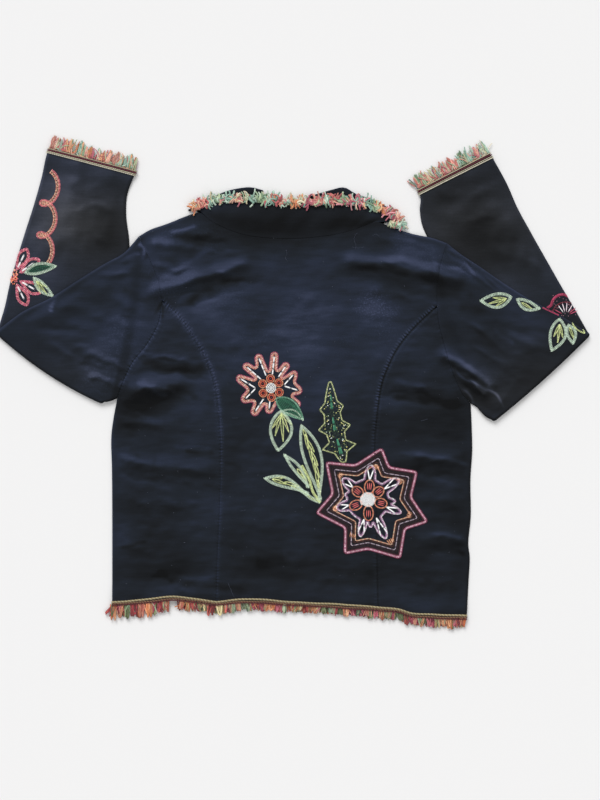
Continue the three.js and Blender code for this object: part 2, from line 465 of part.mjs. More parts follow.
// ---------------------------------------------------------------- collar
{
  const ACROSS = fractions(3);
  const wall = (p, q, lowP, lowQ) => [
    ...ACROSS.map((t) => { const m = mix(p, q, t); return [m.x, m.y, lerp(lowP, lowQ, t) + CLOTH]; }),
    ...ACROSS.slice().reverse().map((t) => { const m = mix(p, q, t); return [m.x, m.y, lerp(lowP, lowQ, t)]; })];
  const over = CLOTH + 2 * GAP;             // the back of the collar lies on its turned-under ends
  const bend = (fold, angle) => {
    const dx = fold.ox - fold.ix, dy = fold.oy - fold.iy, l = Math.hypot(dx, dy);
    const out = { x: (fold.side * dy) / l, y: (-fold.side * dx) / l };
    const at = (t, r) => [lerp(fold.ix, fold.ox, t) + out.x * r * Math.sin(angle), lerp(fold.iy, fold.oy, t) + out.y * r * Math.sin(angle),
      CLOTH + GAP + r * Math.cos(angle)];
    return [...ACROSS.map((t) => at(t, GAP + CLOTH)), ...ACROSS.slice().reverse().map((t) => at(t, GAP))];
  };
  const foldLeft = { ix: -130, iy: 249.5, ox: -148.5, oy: 249.5, side: -1 };
  const foldRight = { ix: 126, iy: 238, ox: 161.5, oy: 227.5, side: 1 };
  const frontRows = (s, sign) => {
    const ts = fractions(7).slice(1);
    const line = sample(LINE[`neckFront${s}`], fractions(7));
    const neck = inset([...line.slice(0, -1), mix(line.at(-2), line.at(-1), 0.9)], -sign, GAP).slice(1);
    neck.at(-1).y += GAP;
    const edge = sample(LINE[`collarFront${s}`], ts);
    return ts.map((_, i) => wall(edge[i], neck[i], 0, 0));
  };
  const neckTs = fractions(BACK_TOP);
  const nape = sample(LINE.neckBack, neckTs);
  const neck = inset(nape, -1, GAP);
  for (const p of [neck[0], neck.at(-1)]) { p.x += 0.3; p.y += 1; }      // clear of the shoulder seams' ends
  const edge = sample(LINE.collarBack, neckTs);
  const bends = [0, 0.25, 0.5, 0.75, 1].map((t) => Math.PI * t);
  const flip = (loop) => {                 // the same section, listed from the inner edge
    const n = loop.length / 2;
    return [...loop.slice(0, n).reverse(), ...loop.slice(n).reverse()];
  };
  // the wall's first side is its top on the back and its underside on the turned-under ends
  const under = (loop) => { const n = loop.length / 2; return [...loop.slice(n).reverse(), ...loop.slice(0, n).reverse()]; };
  const sections = [
    ...frontRows('Left', 1).reverse().map((l) => under(flip(l))),
    ...bends.slice().reverse().map((a) => bend(foldLeft, a)),
    ...neckTs.map((_, i) => wall(neck[i], edge[i], upperBottom(neck[i]), over)),
    ...bends.map((a) => bend(foldRight, a)),
    ...frontRows('Right', -1).map((l) => under(flip(l))),
  ];
  object.add(bar('collar', sections, velvetSide));

  const fringeTs = fractions(16);
  const inEdge = sample(LINE.neckBack, fringeTs), outEdge = sample(LINE.collarBack, fringeTs);
  const row = (offset, low, high) => outEdge.map((p, i) => {
    const d = dist(p, inEdge[i]);
    return { x: p.x + ((p.x - inEdge[i].x) * offset) / d, y: p.y + ((p.y - inEdge[i].y) * offset) / d, low, high };
  });
  const lie = over + CLOTH + 2 * GAP;
  object.add(slab('fringe_collar', [row(-10, lie + 0.4, lie + 2.4), row(0.5, lie, lie + 3.4), row(4, over, lie + 2.6), row(12, over, over + 2.6)], fringe));
}

// ---------------------------------------------------------------- hem braid and fringe
{
  const reachAt = (x) => {
    const i = Math.min(Math.max(FRINGE_REACH.findIndex((r) => r.x >= x), 1), FRINGE_REACH.length - 1);
    const a = FRINGE_REACH[i - 1], b = FRINGE_REACH[i];
    return lerp(a.reach, b.reach, Math.min(Math.max((x - a.x) / (b.x - a.x), 0), 1));
  };
  const [x0, x1] = [LINE.hemLeft[0].x, LINE.hemRight.at(-1).x];
  const [pl, pr] = [LINE.princessLeft[0].x, LINE.princessRight[0].x];
  const xs = [x0, x0 + 1.5, x0 + ROLL, x0 + 12, ...fractions(5).slice(1).map((t) => lerp(x0 + 12, pl, t)), ...hemTs.slice(1).map((t) => lerp(pl, pr, t)),
    ...fractions(5).slice(1).map((t) => lerp(pr, x1 - 12, t)), x1 - ROLL, x1 - 1.5, x1];
  const line = (up) => xs.map((x) => ({ x, y: hemY(x) + up }));
  const onBack = (rise) => (p) => upperTop(p) + rise;
  const row = (up, low, high) => line(up).map((p) => ({ ...p, low: low(p), high: high(p) }));
  object.add(slab('braid_hem_back', [0, 0.5, 1].map((t) => row(t * TRIM_WIDTH, onBack(GAP + 0.1), onBack(GAP + TRIM))), braid));
  const fringeRow = (t, low, high) => xs.map((x) => { const p = { x, y: hemY(x) }; return { x, y: p.y - 0.6 - t * reachAt(x), low: low(p), high: high(p) }; });
  object.add(slab('fringe_hem_back', [
    fringeRow(0, (p) => Math.max(CUFF_RISE, upperTop(p) - 3), upperTop),
    fringeRow(0.5, () => CUFF_RISE, (p) => (upperTop(p) + 4.6) / 2),
    fringeRow(1, () => CUFF_RISE, () => 4)], fringe));
  for (const [name, from, to] of [['left', x0 + ROLL + GAP + 0.5, -3.5 - GAP / 2], ['right', x1 - ROLL - GAP - 0.5, -3.5 + GAP / 2]]) {
    const points = fractions(10).map((t) => ({ x: lerp(from, to, t) })).map(({ x }) => ({ x, y: hemY(x) }));
    const strip = (up, low, high) => points.map((p) => ({ x: p.x, y: p.y + up, low, high }));
    object.add(slab(`braid_hem_front_${name}`, [strip(0, 0, TRIM), strip(TRIM_WIDTH, 0, TRIM)], braid));
    const fall = (t) => points.map((p) => ({ x: p.x, y: p.y - 0.6 - t * reachAt(p.x), low: 0, high: TRIM }));
    object.add(slab(`fringe_hem_front_${name}`, [fall(0), fall(0.5), fall(0.97)], fringe));
  }
}

export default object;
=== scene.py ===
"""A cropped velvet jacket laid flat with its back up: fine cloth, chain-stitched flowers, corded braid and yarn fringe.

Lengths are millimetres on the cloth until a mesh is made. Points named by a pixel are the place of a motif or a crease.
"""

import json
import math

import bpy
import numpy as np
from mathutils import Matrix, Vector
from mathutils.bvhtree import BVHTree

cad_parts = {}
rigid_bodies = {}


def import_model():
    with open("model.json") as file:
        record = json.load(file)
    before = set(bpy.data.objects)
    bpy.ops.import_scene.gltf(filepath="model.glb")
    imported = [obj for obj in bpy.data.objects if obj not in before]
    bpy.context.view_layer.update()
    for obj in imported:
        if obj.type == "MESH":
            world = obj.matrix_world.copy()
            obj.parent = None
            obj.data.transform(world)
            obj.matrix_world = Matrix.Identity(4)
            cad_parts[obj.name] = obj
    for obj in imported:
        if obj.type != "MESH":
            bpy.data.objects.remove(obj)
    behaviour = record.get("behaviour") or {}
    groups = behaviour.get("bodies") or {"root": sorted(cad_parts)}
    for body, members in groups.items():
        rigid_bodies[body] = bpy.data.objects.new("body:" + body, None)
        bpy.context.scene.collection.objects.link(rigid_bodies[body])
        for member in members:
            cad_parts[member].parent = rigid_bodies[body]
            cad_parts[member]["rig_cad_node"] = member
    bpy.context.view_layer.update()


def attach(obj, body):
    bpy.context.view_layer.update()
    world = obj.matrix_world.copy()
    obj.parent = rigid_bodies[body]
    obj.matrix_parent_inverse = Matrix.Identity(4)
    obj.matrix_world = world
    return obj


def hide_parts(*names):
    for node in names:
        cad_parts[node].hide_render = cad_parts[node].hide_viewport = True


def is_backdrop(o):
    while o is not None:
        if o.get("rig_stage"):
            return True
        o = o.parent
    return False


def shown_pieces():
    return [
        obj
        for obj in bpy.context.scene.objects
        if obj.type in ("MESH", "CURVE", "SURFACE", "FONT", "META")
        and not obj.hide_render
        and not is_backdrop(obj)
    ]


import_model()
scene = bpy.context.scene
rng = np.random.RandomState(20)

# ---------------------------------------------------------------- driving dimensions, as in the CAD model
CLOTH = 1.5
GAP = 0.3
LOFT = 1.6
ROLL = 4.0
TRIM = 1.8
TRIM_WIDTH = 6.5
FOLD_R = 0.3
FOLD_LOFT = 0.3
ORIGIN = np.array([1.35, 2.2])
FOREARM = 2 * CLOTH + GAP + FOLD_LOFT + 2 * FOLD_R
CUFF_RISE = TRIM + GAP
MM_PER_PX = 1.43
STEP = 2.1                 # the cloth's grid

# ---------------------------------------------------------------- camera: straight above
DISTANCE = 3.0
camera_data = bpy.data.cameras.new("camera")
camera = bpy.data.objects.new("camera", camera_data)
scene.collection.objects.link(camera)
scene.camera = camera
camera_data.lens = 36 * DISTANCE / (0.8 * MM_PER_PX)
camera_data.sensor_width = 36
camera_data.clip_start, camera_data.clip_end = 0.1, 20
camera.location = ((300 - 292) * MM_PER_PX / 1000 - 0.00135, (384 - 400) * MM_PER_PX / 1000 - 0.0022, DISTANCE + 0.006)

# ---------------------------------------------------------------- seam and edge lines, laid flat
LINE = {
    "hemLeft": [(-257.5, -316), (-214.5, -313), (-166, -308.5), (-108.5, -315.5)],
    "hemCentre": [(-108.5, -315.5), (-60, -312), (-3, -315.5), (58.5, -319), (123, -323)],
    "hemRight": [(123, -323), (151.5, -326), (174.5, -332.5), (211.5, -334.5), (250, -335.5)],
    "sideLeft": [(-257.5, -316), (-257.5, -194.5), (-258, -123), (-259, -80), (-256, -51.5), (-250, -20)],
    "sideRight": [(250, -335.5), (253, -280.5), (254.5, -249), (252.5, -226), (256, -187.5), (255.5, -137.5),
                  (258, -97), (257.5, -66), (256, -28.5)],
    "armLowLeft": [(-250, -20), (-243, 0), (-229, 30), (-207.5, 57), (-191.5, 87), (-186, 120)],
    "armTopLeft": [(-186, 120), (-191.5, 148.5), (-204.5, 180), (-219, 211.5)],
    "armLowRight": [(256, -28.5), (241.5, -10), (226, 27), (216, 63), (209.5, 88.5), (207.5, 111.5)],
    "armTopRight": [(207.5, 111.5), (207.5, 141.5), (213, 174.5), (221.5, 201.5)],
    "princessLeft": [(-108.5, -315.5), (-106.5, -244.5), (-103.5, -180), (-102, -116), (-103, -58.5),
                     (-108.5, -5.5), (-120, 30), (-137.5, 63), (-160, 94.5), (-186, 120)],
    "princessRight": [(123, -323), (121.5, -244.5), (120, -166), (118.5, -94.5), (121, -51.5),
                      (127.5, -4.5), (137.5, 24.5), (151.5, 51.5), (173, 78.5), (207.5, 111.5)],
    "shoulderLeft": [(-219, 211.5), (-203, 221), (-177.5, 230), (-150, 241), (-131.5, 246)],
    "neckBack": [(-131.5, 246), (-108.5, 229), (-67, 213), (-10, 207.5), (47, 211.5), (86, 220), (121.5, 233)],
    "shoulderRight": [(121.5, 233), (148.5, 222.5), (176, 214), (200, 209), (221.5, 201.5)],
    "neckFrontLeft": [(-131.5, 246), (-114.5, 217.5), (-74.5, 186), (-5.5, 171.5)],
    "neckFrontRight": [(121.5, 233), (104.5, 209), (66, 183), (-1.5, 171.5)],
    "collarBack": [(-141.5, 253), (-126, 259.5), (-107, 264), (-74.5, 266), (-38.5, 264.5), (11.5, 261.5),
                   (68.5, 263), (100, 260.5), (126, 252.5), (147.5, 240), (160, 229)],
    "collarFrontLeft": [(-146, 251.5), (-124.5, 263), (-94.5, 276), (-71.5, 281), (-57, 281.5), (-41.5, 277.5)],
    "collarFrontRight": [(157.5, 231.5), (134.5, 254.5), (114.5, 264.5), (91.5, 272.5), (74.5, 281.5),
                         (54.5, 277.5), (24.5, 269)],
}
# sections across each sleeve: ax, ay, bx, by, bow
SLEEVES = {
    "left": {
        "upper": [(-219, 211.5, -250, -20, 1), (-228, 200.5, -251, -21, 0.9), (-237.5, 190, -252.5, -21.5, 0.75),
                  (-269, 171.5, -255.5, -23, 0.5), (-306, 148.5, -258, -24, 0.28), (-346, 123, -261.5, -25, 0.1),
                  (-386, 103, -265.5, -25.5, 0)],
        "elbow": (-422, 76, -269, -25.5, 0),
        "bulge": 8,
        "forearm": [(-412, 108.5, -257.5, 23, 0), (-403.5, 146, -247.5, 77, 0), (-392, 186, -239, 134.5, 0),
                    (-380.5, 223, -233, 201.5, 0), (-369, 259, -237.5, 241.5, 0), (-359, 294.5, -236, 270.5, 0),
                    (-350.5, 330.5, -226, 297.5, 0), (-348, 337, -223, 304.5, 0)],
        "fringeEnd": (-342, 354.5, -216, 323),
    },
    "right": {
        "upper": [(221.5, 201.5, 256, -28.5, 1), (230, 194.5, 259.5, -30, 0.9), (239, 187.5, 263, -32, 0.75),
                  (269, 167.5, 269, -38.5, 0.5), (304.5, 143, 274.5, -44.5, 0.28), (342, 120, 279, -48, 0.1),
                  (383, 98.5, 283, -50, 0)],
        "elbow": (424.5, 73, 286, -51.5, 0),
        "bulge": 3,
        "forearm": [(407.5, 103, 271.5, 5.5, 0), (389, 134.5, 249, 70, 0), (364.5, 177.5, 224.5, 134.5, 0),
                    (342, 217.5, 199, 199, 0), (322, 254.5, 186, 229, 0), (307.5, 287.5, 183, 249, 0),
                    (287.5, 323, 183, 270.5, 0), (283, 330.5, 180, 277.5, 0)],
        "fringeEnd": (274.5, 344.5, 170, 294.5),
    },
}
# the largest folds: x0, y0, x1, y1, width, height
FOLDS = [
    (-196, 131.5, -70, 170.5, 9, 3.6), (-181.5, 110, -48.5, 144.5, 13, -1.4), (86, 174.5, 233, 150, 10, 4.5),
    (76, 154.5, 211.5, 121.5, 13, -1.4), (-213, 206, -146, 196, 8.5, 2), (-211.5, 17, -121.5, 15, 9, -1.4),
    (-223, -10, -166, 0, 11.5, 4.5), (-243, -37, -180, -33, 13, -1.4), (219, 40, 281.5, -3, 8.5, 4),
    (234.5, 17, 273, -14.5, 7, 3), (133, -20, 206, -24.5, 10, -1.4), (221.5, 197.5, 297.5, 134.5, 7, 2.5),
    (-382, 94.5, -317.5, 120, 13, 2.5), (-253, -111.5, -124.5, -123, 11.5, 1.8), (147.5, -111.5, 254.5, -104.5, 11.5, 1.8),
    (-203, -287.5, -124.5, -273, 13, -1.2), (190, -224.5, 254.5, -220, 11.5, 1.8),
]
FRINGE_REACH = [(-258, 19), (-180, 17), (-60, 12), (60, 11), (140, 13), (250, 14)]

# creases given: the pixels they run through, then their width and height in millimetres
CREASES = [
    # left shoulder blade and sleeve head
    ([(152, 292), (200, 278), (250, 262)], 6, 1.6), ([(165, 304), (210, 292), (258, 281)], 8, -1.1),
    ([(138, 241), (141, 249), (147, 257)], 3.2, 1.7), ([(165, 240), (200, 243), (236, 250)], 6, -1.2),
    ([(168, 232), (200, 234), (232, 240)], 6, 0.9), ([(150, 264), (172, 269), (190, 268)], 5, 1.2),
    ([(156, 277), (178, 281)], 4.5, 0.8), ([(120, 262), (136, 258)], 4, 1.0),
    # left underarm
    ([(138, 355), (168, 359), (200, 363)], 4.5, 1.1), ([(143, 371), (175, 374), (208, 379)], 6, -1.0),
    ([(138, 391), (155, 387), (172, 393)], 7, 3.0), ([(120, 403), (140, 409), (166, 413)], 8, -1.5),
    ([(116, 418), (140, 424), (168, 425)], 7, 0.9),
    # left side
    ([(115, 456), (138, 463), (162, 468)], 5.5, 1.5), ([(172, 468), (207, 473)], 5.5, 1.0),
    ([(116, 471), (150, 480), (185, 484)], 7, -0.9), ([(120, 499), (160, 505), (205, 503)], 8, 0.8),
    ([(130, 530), (170, 531), (214, 527)], 8, 0.6), ([(165, 576), (173, 581), (181, 590)], 5, 1.0),
    ([(148, 577), (176, 583), (202, 587)], 8, -1.1), ([(118, 545), (150, 552)], 7, 0.6),
    # right shoulder blade
    ([(362, 262), (400, 262), (440, 274), (462, 281)], 5.5, 2.0), ([(345, 268), (395, 272), (430, 283), (446, 301)], 7, -1.2),
    ([(352, 286), (385, 290), (420, 300)], 8, 0.8), ([(372, 236), (400, 240), (422, 246)], 7, 0.7),
    ([(431, 244), (436, 262), (434, 280)], 4, 0.9),
    # right underarm and side
    ([(388, 385), (412, 386), (432, 391)], 6, 1.0), ([(384, 395), (410, 397), (437, 403)], 7, -1.3),
    ([(400, 455), (435, 459), (470, 468)], 6.5, 1.5), ([(405, 471), (436, 474), (469, 481)], 7, -0.9),
    ([(430, 536), (452, 538), (471, 544)], 6, 1.2), ([(424, 548), (446, 552), (469, 557)], 7, -0.8),
    ([(410, 500), (440, 502), (468, 508)], 8, 0.7), ([(412, 580), (440, 586), (466, 583)], 7, 0.7),
    # centre
    ([(228, 448), (262, 446), (300, 450)], 9, 0.6), ([(232, 520), (270, 524), (312, 520)], 9, 0.6),
    ([(240, 556), (290, 560), (335, 556)], 9, 0.6), ([(225, 345), (262, 340), (300, 343)], 9, 0.5),
    ([(250, 300), (290, 303), (330, 300)], 10, 0.6), ([(300, 585), (340, 583)], 8, 0.7), ([(232, 583), (262, 586)], 8, 0.6),
    # right upper arm
    ([(446, 246), (470, 262), (502, 291)], 3.2, 1.7), ([(454, 262), (474, 276), (496, 290)], 3.0, 1.3),
    ([(450, 254), (472, 270), (498, 291)], 2.4, -0.9), ([(444, 356), (466, 369), (490, 386)], 4.5, 2.1),
    ([(458, 371), (470, 381), (484, 394)], 3.6, 1.8), ([(451, 365), (466, 378), (480, 393)], 3.6, -1.3),
    ([(462, 390), (467, 396), (472, 404)], 3.6, 1.6), ([(500, 330), (535, 347), (562, 351)], 8, 0.9),
    ([(478, 318), (512, 333), (540, 334)], 8, -0.8), ([(452, 318), (480, 330), (505, 352)], 6, 0.9),
    ([(470, 345), (495, 360), (520, 378)], 6, 0.8),
    # left upper arm
    ([(60, 300), (100, 318), (132, 328)], 8, 1.0), ([(70, 345), (105, 359), (126, 372)], 6, 1.6),
    ([(86, 374), (100, 380), (114, 387)], 4.5, 1.5), ([(76, 360), (100, 372), (118, 380)], 5, -1.1),
    ([(28, 321), (55, 328), (82, 331)], 8, -0.8), ([(104, 292), (126, 304), (146, 318)], 7, 0.9),
    ([(96, 272), (112, 276), (132, 272)], 5, 1.1), ([(36, 338), (60, 350), (80, 362)], 6, 0.8),
]
FOREARM_CREASES = [
    ([(62, 176), (84, 188), (110, 192)], 8, 1.0), ([(70, 212), (96, 206), (124, 214)], 7, 0.9),
    ([(88, 232), (108, 244), (126, 240)], 6, 0.8), ([(60, 248), (80, 262), (98, 262)], 8, -0.6),
    ([(430, 186), (456, 196), (490, 190)], 8, 1.0), ([(430, 212), (462, 222), (500, 214)], 7, 0.9),
    ([(446, 232), (478, 244), (520, 240)], 8, -0.6), ([(500, 252), (530, 262), (548, 274)], 7, 0.8),
]


def px(x, y):
    return np.array([(x - 292) * MM_PER_PX, (384 - y) * MM_PER_PX])


def smooth(low, high, v):
    t = np.clip((np.asarray(v, float) - low) / (high - low), 0, 1)
    return t * t * (3 - 2 * t)


class Line:
    """A smooth line through points, by its length."""

    def __init__(self, points):
        self.p = np.array(points, float)
        self.t = np.linspace(0, 1, 401)
        q = self.point(self.t)
        self.s = np.r_[0, np.cumsum(np.hypot(*np.diff(q, axis=0).T[:2]))]
        self.length = self.s[-1]

    def point(self, t):
        p = self.p
        n = len(p) - 1
        f = np.asarray(t, float) * n
        i = np.minimum(f.astype(int), n - 1)
        w = (f - i)[:, None]
        ext = np.vstack([2 * p[0] - p[1], p, 2 * p[-1] - p[-2]])
        p0, p1, p2, p3 = ext[i], ext[i + 1], ext[i + 2], ext[i + 3]
        a, b = 0.5 * (p2 - p0), 0.5 * (p3 - p1)
        return p1 + a * w + (-3 * p1 + 3 * p2 - 2 * a - b) * w**2 + (2 * p1 - 2 * p2 + a + b) * w**3

    def along(self, u):
        u = np.atleast_1d(np.asarray(u, float))
        return self.point(np.interp(u * self.length, self.s, self.t))


LINES = {k: Line(v) for k, v in LINE.items()}


def to_segments(P, line, far=80.0):
    """Distance of each point to a polyline (at most far), and how far along it the nearest place is (0 to 1)."""
    line = np.asarray(line, float)
    A, B = line[:-1], line[1:]
    D = B - A
    length = np.hypot(*D.T)
    start = np.r_[0, np.cumsum(length)]
    best = np.full(len(P), far)
    where = np.zeros(len(P))
    for k in range(0, len(A), 8):
        part = line[k:k + 9]
        low_, high_ = part.min(0), part.max(0)
        gap = np.maximum(np.maximum(low_ - P, P - high_), 0)
        idx = np.nonzero(gap[:, 0] ** 2 + gap[:, 1] ** 2 < best**2)[0]
        if len(idx) == 0:
            continue
        Q, b, w = P[idx], best[idx], where[idx]
        for a, d, l, s in zip(A[k:k + 8], D[k:k + 8], length[k:k + 8], start[k:k + 8]):
            t = np.clip(((Q - a) @ d) / max(l * l, 1e-12), 0, 1)
            dist = np.hypot(Q[:, 0] - a[0] - t * d[0], Q[:, 1] - a[1] - t * d[1])
            near = dist < b
            b = np.where(near, dist, b)
            w = np.where(near, (s + t * l) / max(start[-1], 1e-9), w)
        best[idx], where[idx] = b, w
    return best, where


def inside(P, loop):
    odd = np.zeros(len(P), bool)
    for a, b in zip(loop, np.roll(loop, -1, axis=0)):
        cross = (a[1] > P[:, 1]) != (b[1] > P[:, 1])
        with np.errstate(divide="ignore", invalid="ignore"):
            x = a[0] + (P[:, 1] - a[1]) * (b[0] - a[0]) / (b[1] - a[1])
        odd ^= cross & (P[:, 0] < x)
    return odd


def inset(line, side, amount=GAP / 2):
    d = np.zeros_like(line)
    d[1:-1] = line[2:] - line[:-2]
    d[0], d[-1] = line[1] - line[0], line[-1] - line[-2]
    d /= np.hypot(*d.T)[:, None]
    return line + side * amount * np.c_[d[:, 1], -d[:, 0]]


# ---------------------------------------------------------------- how high the cloth lies
HEM = np.vstack([LINES["hemLeft"].along(np.linspace(0, 1, 50)), LINES["hemCentre"].along(np.linspace(0, 1, 70))[1:],
                 LINES["hemRight"].along(np.linspace(0, 1, 50))[1:]])


def hem_y(x):
    return np.interp(x, HEM[:, 0], HEM[:, 1])


FOOTPRINTS = []
for spec in SLEEVES.values():
    rows = [spec["elbow"], *spec["forearm"]]
    FOOTPRINTS.append(np.array([(r[0], r[1]) for r in rows] + [(r[2], r[3]) for r in rows[::-1]]))


def base(P):
    P = np.atleast_2d(P)
    arm = np.zeros(len(P))
    for loop in FOOTPRINTS:
        d = to_segments(P, np.vstack([loop, loop[:1]]))[0]
        d[inside(P, loop)] = 0
        arm = np.maximum(arm, FOREARM * (1 - smooth(7, 24, d)))
    return np.maximum(arm, CUFF_RISE * (1 - smooth(TRIM_WIDTH + 2, TRIM_WIDTH + 30, P[:, 1] - hem_y(P[:, 0]))))


JOINED = [LINES["sideLeft"].along(np.linspace(0, 1, 60)), LINES["sideRight"].along(np.linspace(0, 1, 60)),
          Line(LINE["shoulderLeft"][:4]).along(np.linspace(0, 1, 24)), Line(LINE["shoulderRight"][1:]).along(np.linspace(0, 1, 24))]


def join_distance(P):
    return np.min([to_segments(P, line)[0] for line in JOINED], axis=0)


def folds(P):
    total = np.zeros(len(P))
    for x0, y0, x1, y1, width, height in FOLDS:
        d = to_segments(P, [(x0, y0), (x1, y1)])[0]
        total += height * np.exp(-((d / width) ** 2))
    return total


def waves(P, seed, amount, length, across=1.0, n=14):
    """Uneven soft waves: a fixed sum of cosines, stretched along X by across."""
    r = np.random.RandomState(seed)
    total = np.zeros(len(P))
    for _ in range(n):
        a, k, phase = r.uniform(0, math.pi), 2 * math.pi / (length * r.uniform(0.6, 1.7)), r.uniform(0, 2 * math.pi)
        total += np.cos(k * (P[:, 0] / across * math.cos(a) + P[:, 1] * math.sin(a)) + phase)
    return amount * total / math.sqrt(n / 2)


def creases(P, table, ends=0.3):
    """Ridges and troughs along lines, with a wandering course, width and height."""
    calm = P + np.c_[waves(P, 41, 0.9, 40), waves(P, 42, 0.9, 40)]
    W = P + np.c_[waves(P, 41, 1.2, 34) + waves(P, 43, 0.45, 12), waves(P, 42, 1.2, 34) + waves(P, 44, 0.45, 12)]
    uneven = np.clip(1 + 0.30 * waves(P, 45, 1.0, 30), 0.45, 1.6)
    total = np.zeros(len(P))
    for points, width, height in table:
        line = Line([px(*q) for q in points]).along(np.linspace(0, 1, 9)) if len(points) > 2 else np.array([px(*q) for q in points])
        d, t = to_segments(W if width > 4.2 else calm, line, 3.0 * width)
        fade = smooth(0, ends, t) * smooth(0, ends, 1 - t)
        total += height * (0.15 + 0.85 * fade) * np.exp(-((d / (width * (0.6 + 0.4 * fade))) ** 2)) * (d < 2.99 * width)
    return total * uneven


PRINCESS = [LINES["princessLeft"].along(np.linspace(0, 1, 120)), LINES["princessRight"].along(np.linspace(0, 1, 120))]
ARMHOLES = [np.vstack([LINES["armLow" + s].along(np.linspace(0, 1, 50)), LINES["armTop" + s].along(np.linspace(0, 1, 30))[1:]])
            for s in ("Left", "Right")]


SEAMS = [(PRINCESS[0], 5.6, 0.30, 4.5, 0.30), (PRINCESS[1], 5.2, 0.36, 5, 0.40), (ARMHOLES[0], 7.5, 0.18, 6, 0.14), (ARMHOLES[1], 7.0, 0.12, 6, 0.05)]
SEEN = {}


def seam_distances(P):
    """Distance and place along each of the four seams."""
    key = (len(P), float(P[0, 0]), float(P[-1, 1]), float(P[len(P) // 2, 0]))
    if key not in SEEN:
        SEEN.clear()
        SEEN[key] = [to_segments(P, line) for line in (*PRINCESS, *ARMHOLES)]
    return SEEN[key]


def puckers(P):
    """The gathered little ridges that cross a sewn seam, and the ditch of the seam itself."""
    total = np.zeros(len(P))
    for seed, ((line, pitch, amount, reach, ditch), (d, t)) in enumerate(zip(SEAMS, seam_distances(P))):
        s = t * np.hypot(*np.diff(line, axis=0).T).sum()
        uneven = 1 + 0.6 * np.sin(s / 17 + seed) * np.sin(s / 31 + 2 * seed)
        fade = 0.45 + 0.55 * smooth(0.35, 0.6, t) if seed < 2 else 1 - smooth(0.55, 0.68, t)
        total += fade * amount * uneven * np.cos(2 * math.pi * s / pitch + 1.3 * np.sin(s / 23)) * np.exp(-((d / reach) ** 2))
        total += fade * (0.16 * np.exp(-(((d - 4) / 3) ** 2)) - ditch * np.exp(-((d / 1.6) ** 2)))
    return total


def seam_wear(P):
    """Where the pile is rubbed along the seams."""
    total = np.zeros(len(P))
    rows = [(PRINCESS[0], 5.5, 0.95), (PRINCESS[1], 4.5, 0.45), (ARMHOLES[0], 5, 0.5), (ARMHOLES[1], 4, 0.12)]
    for seed, ((line, reach, amount), (d, t)) in enumerate(zip(rows, seam_distances(P))):
        s = t * np.hypot(*np.diff(line, axis=0).T).sum()
        fade = 0.3 + 0.7 * smooth(0.45, 0.62, t) if seed < 2 else 0.1 + 0.9 * np.exp(-(((t - 0.35) / 0.25) ** 2))
        total = np.maximum(total, fade * amount * (0.75 + 0.25 * np.sin(s / 9)) * np.exp(-((d / reach) ** 2)))
    return total


def detail(P):
    return 1.2 * creases(P, CREASES) + waves(P, 1, 0.30, 70) + waves(P, 2, 0.13, 24, 1.5) + waves(P, 3, 0.04, 9, 2.4) + puckers(P)


def loft(P, d):
    return np.maximum(LOFT + folds(P), 0.1) * smooth(3, 30, d) + np.maximum(detail(P), -1.2) * smooth(1.5, 14, d)


def soft_loft(P, d):
    return np.maximum(loft(P, d), -0.05 * smooth(3, 30, d))


def round_over(d, radius):
    """How far a rounded edge has still to rise, at a distance d from it (1 at the edge, 0 past the radius)."""
    t = np.clip(d / radius, 0, 1)
    return 1 - np.sqrt(np.clip(1 - (1 - t) ** 2, 0, 1))


def upper_faces(P):
    """Underside and top of the upper of two joined layers."""
    d = join_distance(P)
    spare = soft_loft(P, d)
    b = base(P)
    full = CLOTH + CLOTH + GAP + 0.1
    top = b + 1.0 + (full - 1.0) * (1 - round_over(d, ROLL)) + spare
    bottom = b + 0.9 * round_over(d, 1.4) + smooth(1.4, ROLL + 2, d) * (CLOTH + GAP + 0.1 + spare)
    return np.minimum(bottom, top - 0.25), top


# ---------------------------------------------------------------- meshes from arrays
def shown(name, verts, quads=None, tris=None, colours=None, values=None, flat_xy=True):
    """A mesh from points in millimetres (x, y of the flat lines), its faces, and what its points carry."""
    v = np.asarray(verts, float).reshape(-1, 3).copy()
    v[:, :2] -= ORIGIN
    quads = np.zeros((0, 4), int) if quads is None else np.asarray(quads, int).reshape(-1, 4)
    tris = np.zeros((0, 3), int) if tris is None else np.asarray(tris, int).reshape(-1, 3)
    loops = np.concatenate([quads.ravel(), tris.ravel()])
    starts = np.concatenate([np.arange(len(quads)) * 4, len(quads) * 4 + np.arange(len(tris)) * 3])
    me = bpy.data.meshes.new(name)
    me.vertices.add(len(v))
    me.vertices.foreach_set("co", (v / 1000).astype(np.float32).ravel())
    me.loops.add(len(loops))
    me.loops.foreach_set("vertex_index", loops.astype(np.int32))
    me.polygons.add(len(starts))
    me.polygons.foreach_set("loop_start", starts.astype(np.int32))
    me.update(calc_edges=True)
    me.polygons.foreach_set("use_smooth", np.ones(len(starts), bool))
    if colours is not None:
        c = me.color_attributes.new("yarn", "FLOAT_COLOR", "POINT")
        c.data.foreach_set("color", np.c_[colours, np.ones(len(colours))].astype(np.float32).ravel())
    for key, value in (values or {}).items():
        a = me.attributes.new(key, "FLOAT", "POINT")
        a.data.foreach_set("value", np.asarray(value, np.float32))
    me.update()
    o = bpy.data.objects.new(name, me)
    scene.collection.objects.link(o)
    return o


def grid_quads(rows, columns, first=0):
    r, c = np.meshgrid(np.arange(rows - 1), np.arange(columns - 1), indexing="ij")
    a = (first + r * columns + c).ravel()
    return np.c_[a, a + 1, a + columns + 1, a + columns]


def pick(n):
    """Every second of n places, with both ends and the two next to each."""
    return np.unique(np.r_[0, 1, np.arange(3, n - 2, 2), n - 2, n - 1])


